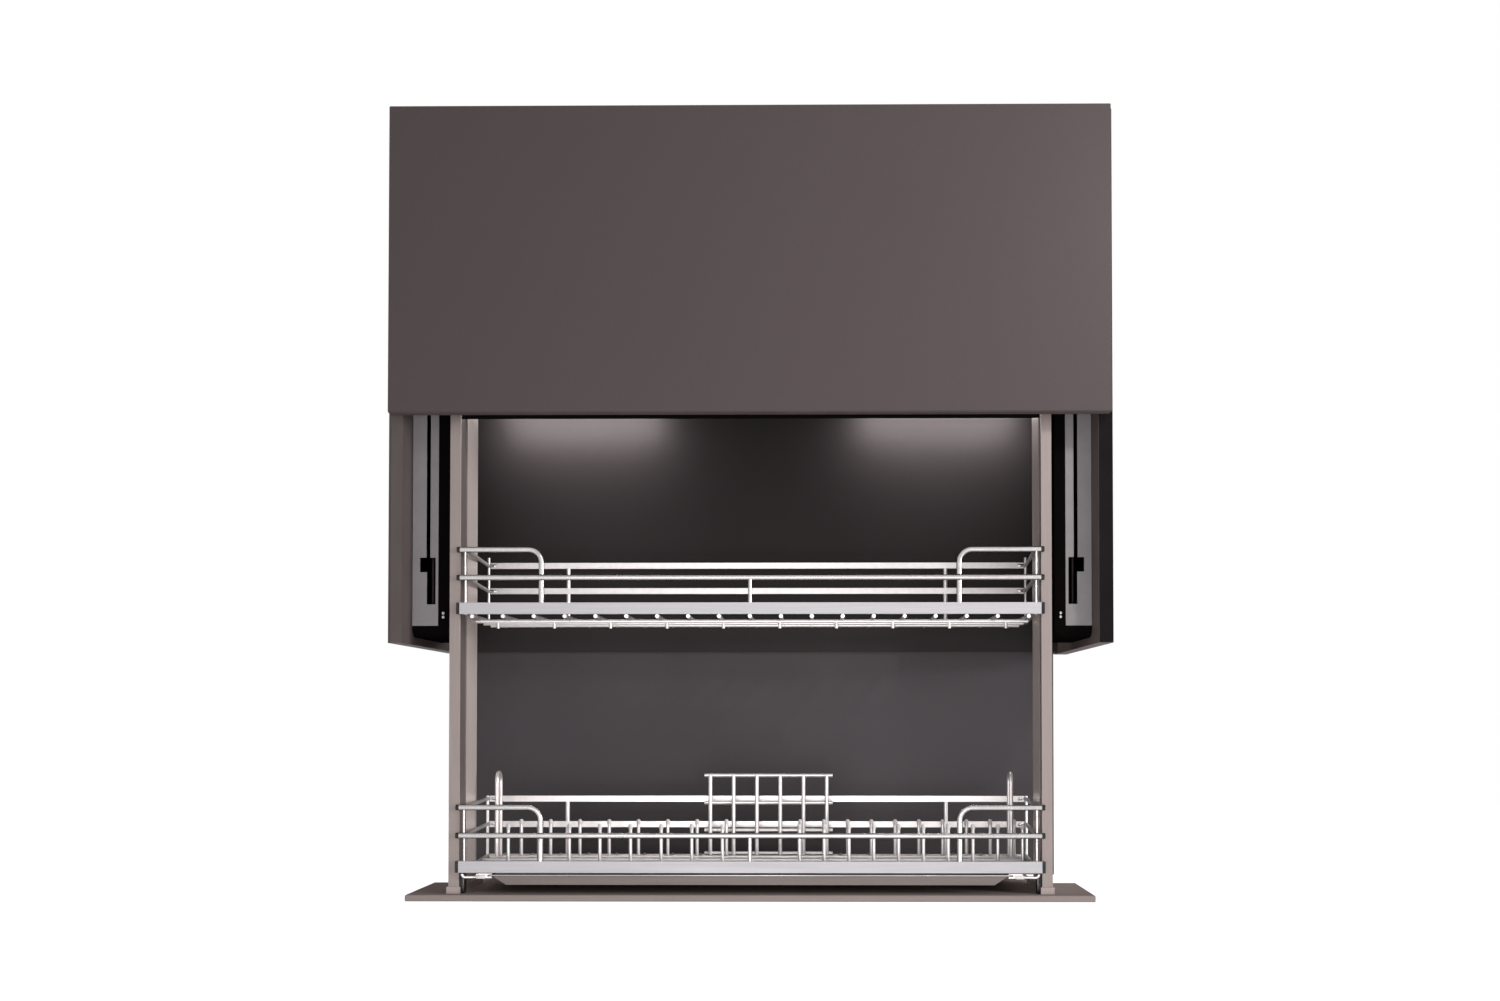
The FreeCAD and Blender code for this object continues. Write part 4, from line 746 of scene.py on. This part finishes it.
def floor():
    """A pale ground that takes the object's shadow and shows as white."""
    height = CAD_LOW.z - FLOOR_DROP
    shape = bmesh.new()
    bmesh.ops.create_grid(shape, x_segments=1, y_segments=1, size=FLOOR_SIZE / 2)
    bmesh.ops.translate(shape, vec=Vector((0, 0, height)), verts=shape.verts)
    mesh = finished_mesh("floor", shape)
    ground = bpy.data.objects.new("floor", mesh)
    bpy.context.scene.collection.objects.link(ground)
    material = bpy.data.materials.new("floor")
    material.use_nodes = True
    nodes = material.node_tree.nodes
    links = material.node_tree.links
    shader = nodes["Principled BSDF"]
    shader.inputs["Base Color"].default_value = (*[FLOOR_GREY] * 3, 1)
    shader.inputs["Roughness"].default_value = FLOOR_ROUGHNESS
    glow = nodes.new("ShaderNodeEmission")
    glow.inputs["Strength"].default_value = FLOOR_GLOW
    lit = nodes.new("ShaderNodeMixShader")
    links.new(seen_directly(nodes, links), lit.inputs["Fac"])
    both = nodes.new("ShaderNodeAddShader")
    links.new(shader.outputs["BSDF"], both.inputs[0])
    links.new(glow.outputs["Emission"], both.inputs[1])
    links.new(shader.outputs["BSDF"], lit.inputs[1])
    links.new(both.outputs["Shader"], lit.inputs[2])
    links.new(lit.outputs["Shader"], nodes["Material Output"].inputs["Surface"])
    mesh.materials.append(material)


def hang(name, kind, power, colour, place):
    """A new lamp of that kind in the scene, and its data."""
    data = bpy.data.lights.new(name, kind)
    data.energy = power
    data.color = colour
    lamp = bpy.data.objects.new(name, data)
    lamp.location = place
    bpy.context.scene.collection.objects.link(lamp)
    return lamp, data


def lamp_glow():
    """The throw of each lit diffuser on to the cabinet's back."""
    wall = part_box("inner_back_cover")[0].y
    for number, (low, high) in enumerate(islands("lamp_diffusers")):
        place = Vector(((low.x + high.x) / 2, wall - GLOW_FORWARD, low.z - GLOW_DROP))
        lamp, data = hang(f"glow_{number}", "AREA", GLOW_POWER, GLOW_COLOUR, place)
        data.shape = "RECTANGLE"
        data.size = high.x - low.x
        data.size_y = GLOW_WIDTH
        lamp.rotation_euler = (GLOW_TILT, 0, 0)


def turn_to(lamp, place, aim):
    lamp.rotation_euler = (aim - place).to_track_quat("-Z", "Y").to_euler()


def spot_light(name, place, aim, angle, power, colour):
    """A wide spot that fades out towards its edge."""
    lamp, data = hang(name, "SPOT", power, colour, place)
    data.spot_size = angle
    data.spot_blend = 1.0
    data.shadow_soft_size = KEY_SOFTNESS
    turn_to(lamp, place, aim)


def area_light(name, place, aim, size, power, colour):
    """A round soft light."""
    lamp, data = hang(name, "AREA", power, colour, place)
    data.shape = "DISK"
    data.size = size
    turn_to(lamp, place, aim)


def camera():
    """The photograph's camera, with its axis shifted from the middle of the frame."""
    data = bpy.data.cameras.new("camera")
    data.sensor_width = SENSOR_WIDTH
    data.lens = FOCAL_PIXELS / IMAGE_WIDTH * SENSOR_WIDTH
    data.shift_x = (IMAGE_WIDTH / 2 - AXIS_PIXEL[0]) / IMAGE_WIDTH
    data.shift_y = (AXIS_PIXEL[1] - IMAGE_HEIGHT / 2) / IMAGE_WIDTH
    seer = bpy.data.objects.new("camera", data)
    bpy.context.scene.collection.objects.link(seer)
    seer.location = CAMERA_PLACE
    seer.rotation_euler = (math.radians(90) + CAMERA_PITCH, 0, CAMERA_YAW)
    bpy.context.scene.camera = seer


dress_nodes()
lip_screws()
peg_tips()
tray_clips()
bar_sleeves()
lower_side_rails()
door_edge_band()
painted_shade_panel_edge()
fascia_seal_and_shade()
foot_fittings()
painted_groove_shade()
tray_bead()
back_screws()
mixed_world()
floor()
lamp_glow()
spot_light("key", KEY_PLACE, KEY_AIM, KEY_ANGLE, KEY_POWER, KEY_COLOUR)
area_light("low", LOW_PLACE, LOW_AIM, LOW_SIZE, LOW_POWER, LOW_COLOUR)
area_light("softbox", SOFTBOX_PLACE, SOFTBOX_AIM, SOFTBOX_SIZE, SOFTBOX_POWER, SOFTBOX_COLOUR)
camera()
bpy.context.scene.view_settings.view_transform = "Standard"
